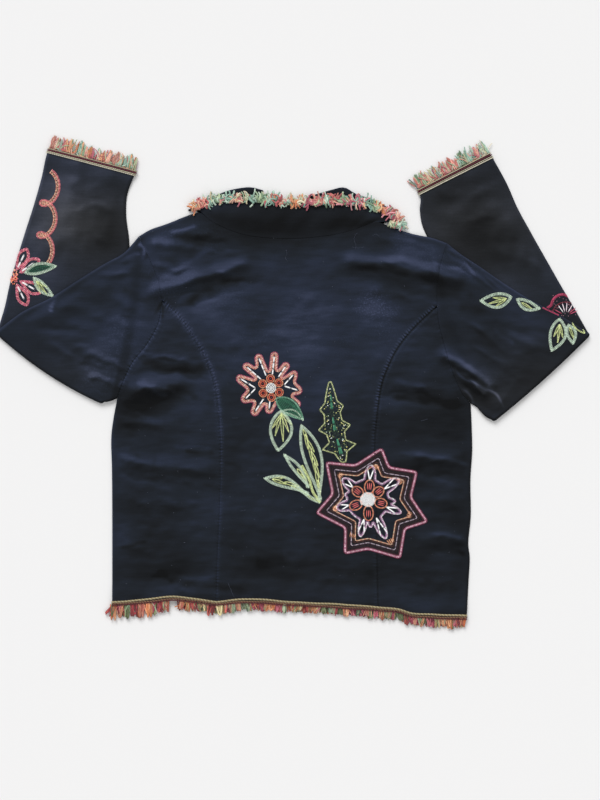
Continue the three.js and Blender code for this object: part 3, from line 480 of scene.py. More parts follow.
def slab(grid, low, high):
    """A closed wall over a grid of plan points, with its faces out. Returns points, quads and triangles."""
    rows, columns = grid.shape[:2]
    plan = grid.reshape(-1, 2)
    n = rows * columns
    v = np.vstack([np.c_[plan, low], np.c_[plan, high]])
    e1, e2 = grid[0, 1] - grid[0, 0], grid[1, 0] - grid[0, 0]
    ccw = e1[0] * e2[1] - e1[1] * e2[0] > 0
    at = lambda r, c: r * columns + c
    border = np.array([at(0, c) for c in range(columns)] + [at(r, columns - 1) for r in range(1, rows)]
                      + [at(rows - 1, c) for c in range(columns - 2, -1, -1)] + [at(r, 0) for r in range(rows - 2, 0, -1)])
    r_, c_ = pick(rows), pick(columns)
    corner = (r_[:-1, None] * columns + c_[None, :-1], r_[:-1, None] * columns + c_[None, 1:],
              r_[1:, None] * columns + c_[None, 1:], r_[1:, None] * columns + c_[None, :-1])
    bottom = np.stack([k.ravel() for k in corner], axis=1)[:, ::-1]
    top = grid_quads(rows, columns, n)
    used = set(bottom.ravel().tolist())
    kept = [k for k, b in enumerate(border) if int(b) in used]
    quads, tris = [], []
    for i, k in enumerate(kept):
        m = kept[(i + 1) % len(kept)]
        run = [border[j % len(border)] + n for j in range(k, m + 1 if m > k else m + len(border) + 1)]
        b0, b1 = border[k], border[m]
        if len(run) == 2:
            quads.append((b0, b1, run[1], run[0]))
        else:
            tris += [(b0, b1, run[-1])] + [(b0, run[j + 1], run[j]) for j in range(len(run) - 1)]
    quads, tris = np.vstack([top, bottom, np.array(quads, int).reshape(-1, 4)]), np.array(tris, int).reshape(-1, 3)
    # drop the underside's unused points
    mark = np.zeros(len(v), bool)
    mark[n:] = True
    mark[list(used)] = True
    index = np.cumsum(mark) - 1
    quads, tris = index[quads], index[tris]
    return v[mark], quads if ccw else quads[:, ::-1], tris if ccw else tris[:, ::-1]


def coons(bottom, top, left, right, us):
    travel = lambda line: np.r_[0, np.cumsum(np.hypot(*np.diff(line, axis=0).T))]
    tl, tr = travel(left), travel(right)
    v = ((tl / tl[-1] + tr / tr[-1]) / 2)[:, None, None]
    u = us[None, :, None]
    return ((1 - v) * bottom[None] + v * top[None] + (1 - u) * left[:, None] + u * right[:, None]
            - (1 - u) * (1 - v) * bottom[0] - u * (1 - v) * bottom[-1] - (1 - u) * v * top[0] - u * v * top[-1])


def near_edges(length, fine, step=STEP):
    """Fractions along a length: fine distances from both ends, then even steps."""
    n = max(int(round((length - 2 * fine[-1]) / step)), 2)
    middle = np.linspace(fine[-1], length - fine[-1], n + 1)[1:-1]
    return np.r_[fine, middle, length - np.array(fine[::-1])] / length


FINE = [0, 0.3, 0.8, 1.6, 2.8, 4.5]


def edge_drop(grid, edges, radius=1.5, depth=0.95):
    """How much a sewn or cut edge rounds down, for the edges named of a grid."""
    g = grid
    d = np.full(g.shape[:2], 1e9)
    if "left" in edges:
        d = np.minimum(d, np.hypot(*(g - g[:, :1]).transpose(2, 0, 1)))
    if "right" in edges:
        d = np.minimum(d, np.hypot(*(g - g[:, -1:]).transpose(2, 0, 1)))
    if "bottom" in edges:
        d = np.minimum(d, np.hypot(*(g - g[:1]).transpose(2, 0, 1)))
    if "top" in edges:
        d = np.minimum(d, np.hypot(*(g - g[-1:]).transpose(2, 0, 1)))
    return depth * round_over(d, radius).ravel()


WORN = [(374, 304, 15, 0.95), (387, 311, 12, 0.8), (362, 306, 9, 0.6), (385, 330, 16, 0.3), (345, 345, 14, 0.25), (213, 246, 12, 0.35),
        (165, 287, 17, 0.55), (185, 278, 15, 0.45), (152, 272, 12, 0.3), (120, 330, 20, 0.4), (100, 375, 26, 0.4), (112, 350, 18, 0.4),
        (205, 232, 22, 0.3), (170, 232, 18, 0.4), (400, 240, 16, 0.4), (430, 262, 16, 0.35), (470, 262, 18, 0.45), (490, 378, 14, 0.3),
        (230, 300, 30, 0.25), (300, 330, 34, 0.2), (255, 330, 26, 0.25)]
# broad painted light and shade on the pile, with some uneven tone: x, y, half width, half height in pixels, and how
# much lighter or darker
PAINTED_LIGHT_AND_TONE = [(300, 218, 110, 26, -0.30), (235, 225, 45, 20, -0.14), (345, 222, 40, 18, -0.10), (290, 300, 120, 55, 0.16), (300, 350, 130, 50, 0.12),
         (250, 400, 130, 50, 0.04), (290, 575, 190, 42, -0.15), (440, 560, 50, 70, -0.10), (150, 560, 50, 50, -0.04), (95, 330, 45, 45, 0.14),
         (110, 370, 40, 30, 0.10), (160, 255, 36, 26, 0.10), (150, 300, 36, 20, 0.06), (175, 380, 30, 14, -0.10), (143, 404, 28, 14, -0.42),
         (125, 415, 20, 26, -0.22), (440, 425, 36, 30, -0.20), (458, 400, 22, 16, -0.12), (405, 252, 50, 14, 0.16), (400, 292, 40, 9, -0.08),
         (450, 285, 26, 20, 0.06), (500, 330, 45, 35, 0.0), (520, 370, 40, 26, -0.08), (445, 330, 22, 40, -0.10), (340, 470, 150, 60, -0.04),
         (205, 470, 30, 60, 0.06), (420, 470, 40, 60, -0.08)]
ARM_TONES = [(85, 215, 90, 90, 0.24), (470, 230, 90, 90, 0.22), (100, 218, 32, 40, -0.20), (90, 168, 46, 16, 0.12), (62, 205, 14, 50, 0.10), (112, 246, 26, 18, -0.16), (460, 215, 60, 60, -0.20),
             (455, 178, 30, 16, -0.05), (500, 250, 60, 30, -0.22), (535, 262, 14, 40, -0.04), (68, 250, 20, 30, -0.05)]


# the painted highlights of the puckers across each seam: their middle off the seam, then the same of its dark line
LADDERS = [(0.6, -1.6), (-2.6, 0.5), (0.0, 0.0), (0.0, 0.0)]


# where the forearms' pile turns to a plain dark grey
UPPER_GREYS = [(545, 385, 60, 40, 0.6), (470, 400, 40, 16, 0.5), (70, 375, 50, 25, 0.25)]
GREYS = [(100, 225, 60, 34, 0.65), (60, 215, 30, 40, 0.2), (470, 225, 80, 50, 0.60)]
# painted highlights and shade along the folds: pixels, half width in millimetres, amount
FOLD_HIGHLIGHTS_AND_SHADE = [
    # left sleeve head and shoulder
    ([(170, 233), (183, 230), (198, 226)], 2.2, 0.42), ([(125.8, 256.5), (133, 253.6), (141.5, 253.8)], 2.0, 0.40),
    ([(140.5, 258.5), (143.5, 255), (143.5, 249), (138.5, 243.5)], 1.9, 0.42), ([(152, 243), (160, 239), (168, 247)], 3.6, 0.20),
    ([(128, 268), (142, 273), (156, 276)], 9, -0.20), ([(172, 241), (190, 243), (207, 246)], 8, -0.13), ([(158, 258), (172, 262), (184, 267)], 5, -0.14),
    ([(158, 281), (171, 272), (187, 264), (197, 256), (213, 247)], 4.0, 0.16), ([(160, 291), (180, 289), (205, 285)], 5, 0.06),
    ([(215, 273), (226, 273), (237, 275)], 2.8, 0.14), ([(165, 300), (176, 304.5), (190, 301), (208, 292), (227, 284), (247, 277)], 6.4, -0.30),
    ([(120, 290), (137, 296), (152, 302)], 5.5, -0.16), ([(120, 315), (126, 317), (131, 319)], 3, -0.10),
    ([(163.5, 299), (159, 307), (154, 315)], 2.4, -0.26), ([(163.5, 300), (163, 310), (161.5, 320)], 2.0, -0.18),
    ([(207, 345), (227, 350), (247, 346)], 5.5, -0.12),
    # left underarm
    ([(138, 358.5), (153, 364), (175, 368), (207, 369)], 6.2, -0.30), ([(153, 359.5), (175, 362.8), (203, 364.5)], 1.9, 0.14),
    ([(213, 369), (225, 370), (237, 373)], 3.4, -0.12), ([(135, 383), (150, 386.5), (167, 398)], 5.2, 0.26), ([(120, 388), (122, 384), (125, 380)], 2.0, 0.36),
    ([(175, 390), (190, 394), (206, 400)], 5, -0.12),
    # left side
    ([(184, 451), (200, 453), (216, 454.5)], 2.9, -0.24), ([(124, 451), (144, 458), (158, 465)], 6, -0.15), ([(173, 447), (198, 447.5), (215, 450.5)], 2.2, 0.12),
    ([(224, 462), (233, 464), (242, 467)], 3.4, -0.12), ([(260, 473), (267, 473), (275, 471)], 3.4, -0.14), ([(178, 482), (204, 484), (233, 489)], 3, -0.10),
    ([(120, 547), (133, 546), (147, 542)], 2.4, -0.20), ([(151, 578), (164, 572), (178, 582), (211, 585), (256, 593)], 4.6, -0.18),
    ([(175, 576.5), (196, 579.5), (218, 574.5)], 2.8, 0.12), ([(255, 562), (270, 560), (286, 558)], 9, -0.12),
    # right shoulder
    ([(361, 257), (390, 260), (419, 261.5), (434, 266)], 4.6, 0.06), ([(428, 264), (447, 266.5), (462, 271), (476, 280)], 2.6, 0.30),
    ([(353, 267), (380, 268), (406, 272), (431, 279), (449, 286)], 5.8, -0.22), ([(434, 290), (454, 294), (475, 299)], 9, -0.13),
    ([(445, 246), (455, 253.5), (465, 263), (472, 272), (476, 279)], 2.0, 0.34), ([(446, 252), (460, 262), (468.5, 269)], 1.8, 0.18),
    ([(449, 250), (460, 257.5), (471, 267)], 1.8, -0.24), ([(493, 329), (505, 339), (515, 344)], 3.6, 0.16), ([(457, 307), (471, 308), (488, 312)], 7, -0.12),
    # right underarm
    ([(440, 351), (452, 358), (466, 365), (479, 373), (488, 384), (494, 394)], 3.2, 0.20),
    ([(454, 367), (459, 374), (467, 380), (481, 385), (491, 391), (499, 399), (506, 408)], 1.9, 0.42), ([(460, 389), (466, 393), (471, 398), (472.5, 406)], 1.8, 0.40),
    ([(448, 364), (465, 376), (483, 380)], 2.6, -0.18), ([(460, 381), (472, 389), (488, 398)], 3.4, -0.24),
    ([(388, 399), (414, 398), (438, 401), (466, 405)], 6.5, -0.28), ([(425, 386), (431, 388.7), (437, 392)], 2.6, -0.14),
    # left upper arm
    ([(51, 314), (51.5, 306), (58, 297)], 2.0, 0.34), ([(55, 312), (57, 305), (62, 300)], 3.0, -0.14),
    # right side and low centre
    ([(405, 466), (436, 470), (469, 478)], 4.5, -0.14), ([(400, 452), (436, 456), (470, 465)], 3.0, 0.14), ([(424, 546), (446, 550), (469, 556)], 4.0, -0.14),
    ([(430, 533), (452, 535), (471, 541)], 2.6, 0.12), ([(420, 578), (440, 584), (462, 582)], 3.4, -0.12), ([(330, 566), (350, 572), (378, 570)], 5, -0.10),
]


def seam_place(P):
    """Along the nearest seam; off its ladder of painted pucker highlights and off its dark line; how strong each of
    them is.
    """
    along_, ladder, dark, best = np.zeros(len(P)), np.full(len(P), 60.0), np.full(len(P), 60.0), np.full(len(P), 1e9)
    pucker_highlights, line_ = np.zeros(len(P)), np.zeros(len(P))
    for k, (line, (d, t)) in enumerate(zip([*PRINCESS, *ARMHOLES], seam_distances(P))):
        near = d < best
        u = np.linspace(0, 1, len(line))
        mid = np.c_[np.interp(t, u, line[:, 0]), np.interp(t, u, line[:, 1])]
        off = d * np.where(P[:, 0] > mid[:, 0], 1.0, -1.0)
        along_ = np.where(near, t * np.hypot(*np.diff(line, axis=0).T).sum(), along_)
        ladder = np.where(near, off - LADDERS[k][0], ladder)
        dark = np.where(near, off - LADDERS[k][1], dark)
        pucker_highlights = np.where(near, (0.55 + 0.55 * smooth(0.4, 0.6, t), 0.55 + 0.95 * smooth(0.4, 0.62, t), 0.75 * (1 - smooth(0.5, 0.66, t)),
                                0.15 * (1 - smooth(0.5, 0.66, t)))[k], pucker_highlights)
        line_ = np.where(near, (0.10 + 0.35 * smooth(0.55, 0.75, t) * (1 - smooth(0.86, 0.95, t)), 0.40 + 0.75 * smooth(0.5, 0.72, t),
                                0.30 * (1 - smooth(0.5, 0.66, t)), 0.06)[k], line_)
        best = np.where(near, d, best)
    return along_, ladder, dark, pucker_highlights, line_


def patches(P, table):
    total = np.zeros(len(P))
    for x, y, rx, ry, amount in table:
        c = px(x, y)
        total += amount * np.exp(-(((P[:, 0] - c[0]) / (rx * MM_PER_PX)) ** 2 + ((P[:, 1] - c[1]) / (ry * MM_PER_PX)) ** 2))
    return total


def worn(P):
    total = seam_wear(P)
    for x, y, r, amount in WORN:
        c = px(x, y)
        total = np.maximum(total, amount * np.exp(-(np.hypot(*(P - c).T) / (r * MM_PER_PX)) ** 2))
    return total


SUN = np.array([-0.30, 0.93])          # the side that the light comes from, over the cloth


def pile_and_painted_light_of(o, plan, arm=None, shape=None, ring=0):
    """Painted light and shade on the pile: brighter on slopes that face the light, darker behind them; with the pile's
    tone, wear and seam marks.
    """
    n = np.zeros(len(o.data.vertices) * 3, np.float32)
    o.data.vertices.foreach_get("normal", n)
    n = n.reshape(-1, 3)
    slope = n[:, 0] * SUN[0] + n[:, 1] * SUN[1]
    if shape is not None:                      # a grid's border takes the slope of the cloth beside it
        top = slope[-shape[0] * shape[1]:].reshape(shape)
        top[:, :2], top[:, -2:] = top[:, 2:3], top[:, -3:-2]
        top[-2:] = top[-3]
    if ring:
        for k in range(3):
            slope[k * ring:(k + 1) * ring] = slope[3 * ring:4 * ring]
    soft = waves(plan, 11, 0.035, 150) + waves(plan, 12, 0.035, 55, 1.6)
    # painted light and shade from the tables, with some uneven tone
    tone_and_painted_light, rub = patches(plan, PAINTED_LIGHT_AND_TONE), worn(plan)
    if arm is not None:
        tone_and_painted_light = np.where(arm, patches(plan, ARM_TONES), tone_and_painted_light)
        rub = np.where(arm, 0.1, rub)
    grey = np.zeros(len(plan))
    along_, ladder, dark, pucker_highlights, line_ = seam_place(plan)
    if arm is not None:
        pucker_highlights, line_ = np.where(arm, 0, pucker_highlights), np.where(arm, 0, line_)
    glow = pucker_highlights * np.exp(-((ladder / 3.0) ** 2))
    if arm is None or not arm.all():
        tone_and_painted_light = tone_and_painted_light + np.where(arm, 0, creases(plan, FOLD_HIGHLIGHTS_AND_SHADE, 0.14)) if arm is not None else tone_and_painted_light + creases(plan, FOLD_HIGHLIGHTS_AND_SHADE, 0.14)
    if arm is not None:
        grey = np.where(arm, np.clip(0.25 + patches(plan, GREYS), 0, 1), np.clip(patches(plan, UPPER_GREYS), 0, 1))
    # painted light: brighter on slopes that face the light; plus painted light and shade from the tables, uneven tone,
    # wear and painted pucker highlights
    value = 0.42 + 0.30 * np.tanh(slope / 0.28) + soft + tone_and_painted_light + 0.16 * rub + 0.10 * glow
    a = o.data.attributes.new("pile_and_painted_light", "FLOAT", "POINT")
    a.data.foreach_set("value", np.clip(value, 0, 1.4).astype(np.float32))
    b = o.data.attributes.new("worn", "FLOAT", "POINT")
    b.data.foreach_set("value", rub.astype(np.float32))
    for key, value_ in (("seam_along", along_), ("seam_ladder", ladder), ("seam_dark", dark), ("seam_pucker_highlights", pucker_highlights), ("seam_line", line_), ("grey", grey)):
        c = o.data.attributes.new(key, "FLOAT", "POINT")
        c.data.foreach_set("value", value_.astype(np.float32))


def velvet_piece(name, verts, quads, node, arm=None, tris=None, shape=None, ring=0):
    o = shown(name, verts, quads, tris)
    pile_and_painted_light_of(o, np.asarray(verts)[:, :2], arm, shape, ring)
    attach(o, "root")
    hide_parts(node)
    return o


def plan_area(grid):
    """Area of a grid of plan points, in square metres."""
    a, b, c, d = grid[:-1, :-1], grid[:-1, 1:], grid[1:, 1:], grid[1:, :-1]
    cross = lambda p, q: p[..., 0] * q[..., 1] - p[..., 1] * q[..., 0]
    return float(np.abs(cross(c - a, d - b)).sum() / 2e6)


PIECES = {}

# ---------------------------------------------------------------- centre back
seams = {}
for s in ("Left", "Right"):
    low, top = LINES["armLow" + s], LINES["armTop" + s]
    side, princess = LINES["side" + s], LINES["princess" + s]
    seams[s] = {"low": low, "top": top, "side": side, "princess": princess}
n_low = int(round((seams["Left"]["side"].length + seams["Left"]["low"].length) / STEP))
fine_rows = np.unique(np.r_[0, 0.5 / 480, 1.2 / 480, 2.4 / 480, np.linspace(4.0 / 480, 1, n_low)])
fine_top = near_edges(95, [0, 1.5, 3.0], STEP)
fine_top = np.r_[fine_top[:-2], 1 - 2.4 / 95, 1 - 1.2 / 95, 1 - 0.4 / 95, 1]
left = inset(np.vstack([LINES["princessLeft"].along(fine_rows), LINES["armTopLeft"].along(fine_top)[1:]]), 1, 0.05)
right = inset(np.vstack([LINES["princessRight"].along(fine_rows), LINES["armTopRight"].along(fine_top)[1:]]), -1, 0.05)
us = near_edges(290, FINE, STEP)
hem_c = LINES["hemCentre"].along(us)
w_sl, w_neck, w_sr = LINES["shoulderLeft"].length, LINES["neckBack"].length, LINES["shoulderRight"].length
# columns go to the shoulders and the neck by share of columns, as in the CAD model
cut1, cut2 = 4 / 18, 14 / 18
top_c = np.zeros((len(us), 2))
for i, u in enumerate(us):
    if u <= cut1:
        top_c[i] = LINES["shoulderLeft"].along([u / cut1])[0]
    elif u <= cut2:
        top_c[i] = LINES["neckBack"].along([(u - cut1) / (cut2 - cut1)])[0]
    else:
        top_c[i] = LINES["shoulderRight"].along([(u - cut2) / (1 - cut2)])[0]
top_c = inset(top_c, 1, 0.05)
top_c[0], top_c[-1], hem_c[0], hem_c[-1] = left[-1], right[-1], left[0], right[0]
grid = coons(hem_c, top_c, left, right, us)
plan = grid.reshape(-1, 2)
low, high = upper_faces(plan)
seam_drop = edge_drop(grid, ("left", "right"), 0.9, 0.22).reshape(grid.shape[:2])
seam_drop[len(fine_rows):] *= 0.15
drop = np.maximum(seam_drop.ravel(), np.maximum(edge_drop(grid, ("bottom",)), edge_drop(grid, ("top",), 0.8, 0.1)))
verts, quads, tris = slab(grid, low + 0.2 * drop, np.maximum(high - drop, low + 0.25 + 0.2 * drop))
PIECES["back_centre"] = velvet_piece("velvet_back_centre", verts, quads, "back_centre", tris=tris, shape=grid.shape[:2])

# ---------------------------------------------------------------- side backs and fronts
for s, name, sign in (("Left", "left", 1), ("Right", "right", -1)):
    seam = seams[s]
    ls, ll = seam["side"].length, seam["low"].length
    d = fine_rows * (ls + 0.985 * ll)
    arm = d > ls
    outer = np.where(arm[:, None], seam["low"].along(np.clip((d - ls) / ll, 0, 1)), seam["side"].along(np.clip(d / ls, 0, 1)))
    outer = np.where(arm[:, None], inset(outer, sign), outer)
    inner = inset(seam["princess"].along(0.985 * fine_rows), -sign, 0.05)
    width = math.hypot(*(outer[0] - inner[0]))
    us = near_edges(width, FINE, STEP)
    hem = LINES["hem" + s].along(us if sign > 0 else 1 - us)
    hem[0], hem[-1] = outer[0], inner[0]
    top = outer[-1] + us[:, None] * (inner[-1] - outer[-1])
    grid = coons(hem, top, outer, inner, us)
    plan = grid.reshape(-1, 2)
    low, high = upper_faces(plan)
    g = grid
    d_out = np.hypot(*(g - g[:, :1]).transpose(2, 0, 1))
    d_out[~arm] = 1e9                       # the side itself rolls under already
    drop = np.maximum(np.maximum(edge_drop(grid, ("right",), 0.9, 0.22), edge_drop(grid, ("bottom",))), (0.30 if sign > 0 else 0.06) * round_over(d_out, 1.2).ravel())
    verts, quads, tris = slab(grid, low + 0.2 * drop, np.maximum(high - drop, low + 0.25 + 0.2 * drop))
    PIECES["back_side_" + name] = velvet_piece("velvet_back_side_" + name, verts, quads, "back_side_" + name, tris=tris, shape=grid.shape[:2])

    # the front, in from the rolled edges
    reach = ROLL + GAP
    rows_side = seam["side"].along(np.linspace(0, 1, 50))
    rows_side[:, 0] += sign * reach
    rows_side[0, 1] = hem_y(rows_side[0, 0])
    rows_arm = inset(np.vstack([seam["low"].along(np.linspace(0, 1, 26)), seam["top"].along(np.linspace(0, 0.93, 14))[1:]]), sign)
    edge = np.vstack([rows_side, rows_arm[1:]])
    edge[-1, 1] -= 1
    centre_x = -3.5 - sign * GAP / 2
    shoulder = inset(LINES["shoulder" + s].along(np.linspace(0, 1, 12) if sign > 0 else np.linspace(1, 0, 12)), sign, reach + 1.5)
    shoulder[0] = edge[-1]
    neck = inset(LINES["neckFront" + s].along(np.linspace(0, 1, 22)), sign)
    shoulder[-1] = (neck[0, 0] - sign * 4, neck[0, 1] - 2 * reach)
    front_top = np.vstack([shoulder, neck[1:]])
    front_top[-1, 0] = centre_x
    us = np.linspace(0, 1, len(front_top))
    x = edge[0, 0] + us * (centre_x - edge[0, 0])
    front_bottom = np.c_[x, hem_y(x)]
    rise = edge[:, 1] - edge[0, 1]
    share = np.clip(rise / rise[-1], 0, 1)
    centre = np.c_[np.full(len(edge), centre_x), front_bottom[-1, 1] + share * (front_top[-1, 1] - front_bottom[-1, 1])]
    grid = coons(front_bottom, front_top, edge, centre, us)
    plan = grid.reshape(-1, 2)
    b = base(plan)
    b = np.where(b > 0.02, b, 0)
    drop = edge_drop(grid, ("left", "right", "bottom", "top"), 1.0, 0.4)
    verts, quads, tris = slab(grid, b, b + CLOTH - drop)
    PIECES["front_" + name] = velvet_piece("velvet_front_" + name, verts, quads, "front_" + name, tris=tris)


# ---------------------------------------------------------------- sleeves
def smooth_rows(table, step, more=()):
    """Sections between the given ones, and how far along each lies (0 to 1 by its own interval)."""
    Y = np.array(table, float)
    h = np.hypot(*(np.diff(Y[:, :2], axis=0)).T) + np.hypot(*(np.diff(Y[:, 2:4], axis=0)).T)
    s = np.r_[0, np.cumsum(h)] / 2
    m = np.zeros_like(Y)
    slope = np.diff(Y, axis=0) / np.diff(s)[:, None]
    hh = np.diff(s)
    m[1:-1] = (slope[1:] * hh[:-1, None] + slope[:-1] * hh[1:, None]) / (hh[:-1] + hh[1:])[:, None]
    m[0], m[-1] = slope[0], slope[-1]
    q = np.linspace(0, s[-1], max(int(round(s[-1] / step)), 4) + 1)
    q = np.sort(np.r_[q, more])
    i = np.clip(np.searchsorted(s, q, side="right") - 1, 0, len(s) - 2)
    dx = (s[i + 1] - s[i])[:, None]
    t = ((q - s[i]) / (s[i + 1] - s[i]))[:, None]
    out = ((2 * t**3 - 3 * t**2 + 1) * Y[i] + (t**3 - 2 * t**2 + t) * dx * m[i] + (-2 * t**3 + 3 * t**2) * Y[i + 1]
           + (t**3 - t**2) * dx * m[i + 1])
    out[:, 4] = np.clip(out[:, 4], 0, 1)
    return out, q, s


class Sleeve:
    HOLLOW = 2.2
    EDGE = [0, 0.35, 0.8, 1.5, 2.4, 3.6, 5, 7, 9.5]

    def __init__(self, name, s):
        self.name, self.spec, self.side = name, SLEEVES[name], 1 if name == "left" else -1
        hole = np.vstack([LINES["armTop" + s].along(np.linspace(1, 0, 60)), LINES["armLow" + s].along(np.linspace(1, 0, 110))[1:]])
        line = inset(hole, self.side)
        travel = np.r_[0, np.cumsum(np.hypot(*np.diff(line, axis=0).T))]
        self.hole, self.line, self.travel = hole, line, travel / travel[-1]
        upper_edge = [(r[0], r[1]) for r in [*self.spec["upper"], self.spec["elbow"]]]
        self.upper_edge = np.array(sorted(upper_edge))
        cuff = self.spec["forearm"][-1]
        self.cuff = [(cuff[0], cuff[1]), (cuff[2], cuff[3])]
        e = self.spec["elbow"]
        d = np.array([e[2] - e[0], e[3] - e[1]])
        d /= np.hypot(*d)
        self.out = self.side * np.array([d[1], -d[0]])

    def plan(self, row, u):
        a, b = row[:2], row[2:4]
        p = a + u[:, None] * (b - a)
        if row[4] > 0:
            q = np.c_[np.interp(u, self.travel, self.line[:, 0]), np.interp(u, self.travel, self.line[:, 1])]
            chord = self.hole[0] + u[:, None] * (self.hole[-1] - self.hole[0])
            p = p + row[4] * (q - chord)
        return p

    def columns(self, row):
        us = np.linspace(0, 1, 9)
        w = np.hypot(*np.diff(self.plan(row, us), axis=0).T).sum()
        n = 78
        mid = np.linspace(self.EDGE[-1], w - self.EDGE[-1], n + 1)[1:-1]
        d = np.r_[self.EDGE, mid, w - np.array(self.EDGE[::-1])]
        return w, d / w

    def past(self, P):
        return P[:, 1] - np.interp(P[:, 0], self.upper_edge[:, 0], self.upper_edge[:, 1])

    def cuff_rise(self, P):
        return CUFF_RISE * (1 - smooth(TRIM_WIDTH + 3, TRIM_WIDTH + 32, to_segments(P, self.cuff)[0]))

    def forearm_spare(self, P, d):
        free = smooth(12, 60, self.past(P)) * smooth(3, 30, d)
        extra = creases(P, FOREARM_CREASES) + waves(P, 5, 0.34, 60) + waves(P, 6, 0.15, 22)
        return FOLD_LOFT * smooth(2, ROLL, d) + np.maximum(1.6 + extra, 0.1) * free

    def section(self, row, push):
        w, us = self.columns(row)
        D = np.minimum(us, 1 - us) * w
        E = np.where(D < self.EDGE[-1], self.HOLLOW + D * (self.EDGE[-1] - self.HOLLOW) / self.EDGE[-1], D)
        vs = np.where(us < 0.5, E / w, 1 - E / w)
        bow = push * np.sin(math.pi * us)[:, None] ** 0.8 * self.out
        bow_in = push * np.sin(math.pi * vs)[:, None] ** 0.8 * self.out
        return D, E, self.plan(row, us) + bow, self.plan(row, vs) + bow_in

    def rings_of(self, rows, under, spare, turned, pushes, blends):
        """Outer and inner loops of sections. push bows one out towards the elbow's fold; blend flattens it there."""
        parts = [self.section(row, push) for row, push in zip(rows, pushes)]
        n = len(parts[0][0])
        D, E, P, Q = (np.concatenate([part[k] for part in parts]) for k in range(4))
        blend = np.repeat(np.asarray(blends, float), n)
        full = 2 * CLOTH + GAP
        sp, sq = spare(P, D), spare(Q, E)
        sp = sp + blend * (FOLD_LOFT * smooth(2, ROLL, D) - sp)
        sq = sq + blend * (FOLD_LOFT * smooth(2, ROLL, E) - sq)
        up, uq = under(P), under(Q)
        top = up + 1.0 + (full - 1.0) * (1 - round_over(D, ROLL)) + sp
        bottom = up + 1.0 * round_over(D, 1.3)
        lower = uq + CLOTH
        upper = lower + np.maximum(0.1, GAP * smooth(2, ROLL, E)) + np.maximum(sq, -0.1) * smooth(2, 9, E)
        a, b, c, e = (k.reshape(-1, n, 3) for k in (np.c_[P, top], np.c_[P, bottom], np.c_[Q, upper], np.c_[Q, lower]))
        if turned:
            return [(np.vstack([b_, a_[::-1]]), np.vstack([e_, c_[::-1]])) for a_, b_, c_, e_ in zip(a, b, c, e)]
        return [(np.vstack([a_, b_[::-1]]), np.vstack([c_, e_[::-1]])) for a_, b_, c_, e_ in zip(a, b, c, e)]

    def ring(self, row, under, spare, turned):
        return self.rings_of([row], under, spare, turned, [0.0], [0.0])[0]

    def turn(self, angle):
        row = np.array(self.spec["elbow"], float)
        w, us = self.columns(row)
        D = np.minimum(us, 1 - us) * w
        E = np.where(D < self.EDGE[-1], self.HOLLOW + D * (self.EDGE[-1] - self.HOLLOW) / self.EDGE[-1], D)
        vs = np.where(us < 0.5, E / w, 1 - E / w)
        centre = FOLD_R + 2 * CLOTH + GAP + FOLD_LOFT

        def point(u, h):
            p = self.plan(row, u)
            r = FOLD_R + h
            q = p + self.out * (r * math.sin(angle) + self.spec["bulge"] * np.sin(math.pi * u) ** 0.8)[:, None]
            return np.c_[q, centre + r * math.cos(angle)]
        spare = lambda d: FOLD_LOFT * smooth(2, ROLL, d)
        outer1 = point(us, 1.0 + (2 * CLOTH + GAP - 1.0) * (1 - round_over(D, ROLL)) + spare(D))
        outer2 = point(us, 1.0 * round_over(D, 1.3))
        inner1 = point(vs, CLOTH + np.maximum(0.1, GAP * smooth(2, ROLL, E)) + spare(E))
        inner2 = point(vs, np.full(len(vs), CLOTH))
        return np.vstack([outer1, outer2[::-1]]), np.vstack([inner1, inner2[::-1]])

    def build(self):
        spec = self.spec
        up, q, s = smooth_rows([*spec["upper"], spec["elbow"]], 2.3, (0.3, 0.9))
        last = s[-2]
        t_up = np.clip((q - last) / (s[-1] - last), 0, 1)
        rings = self.rings_of(up[:-1], base, soft_loft, False, spec["bulge"] * t_up[:-1], t_up[:-1])
        self.n_upper = len(rings)
        rings += [self.turn(a) for a in np.linspace(0, math.pi, 11)]
        self.first_fore = len(rings)
        fo, q, s = smooth_rows([spec["elbow"], *spec["forearm"]], 3.0)
        t_fo = np.clip(1 - q / s[1], 0, 1)
        rings += self.rings_of(fo[1:], self.cuff_rise, self.forearm_spare, True, spec["bulge"] * t_fo[1:], t_fo[1:])
        # round the two open ends
        n = len(rings[0][0])
        outer = np.array([r[0] for r in rings])
        self.outer = outer
        keep = sorted(set([0, 1, *range(2, len(rings) - 2, 4), len(rings) - 2, len(rings) - 1]))
        inner = np.array([rings[k][1] for k in keep])
        R, K = len(outer), len(inner)
        verts = np.vstack([outer.reshape(-1, 3), inner.reshape(-1, 3)])
        at = lambda r, i: r * n + (i % n)
        i = np.arange(n)
        quads = []
        for r in range(R - 1):
            quads.append(np.c_[at(r, i), at(r, i + 1), at(r + 1, i + 1), at(r + 1, i)])
        off = R * n
        for r in range(K - 1):
            quads.append(np.c_[off + at(r, i), off + at(r + 1, i), off + at(r + 1, i + 1), off + at(r, i + 1)])
        quads.append(np.c_[at(0, i), off + at(0, i), off + at(0, i + 1), at(0, i + 1)])
        quads.append(np.c_[at(R - 1, i), at(R - 1, i + 1), off + at(K - 1, i + 1), off + at(K - 1, i)])
        quads = np.vstack(quads)
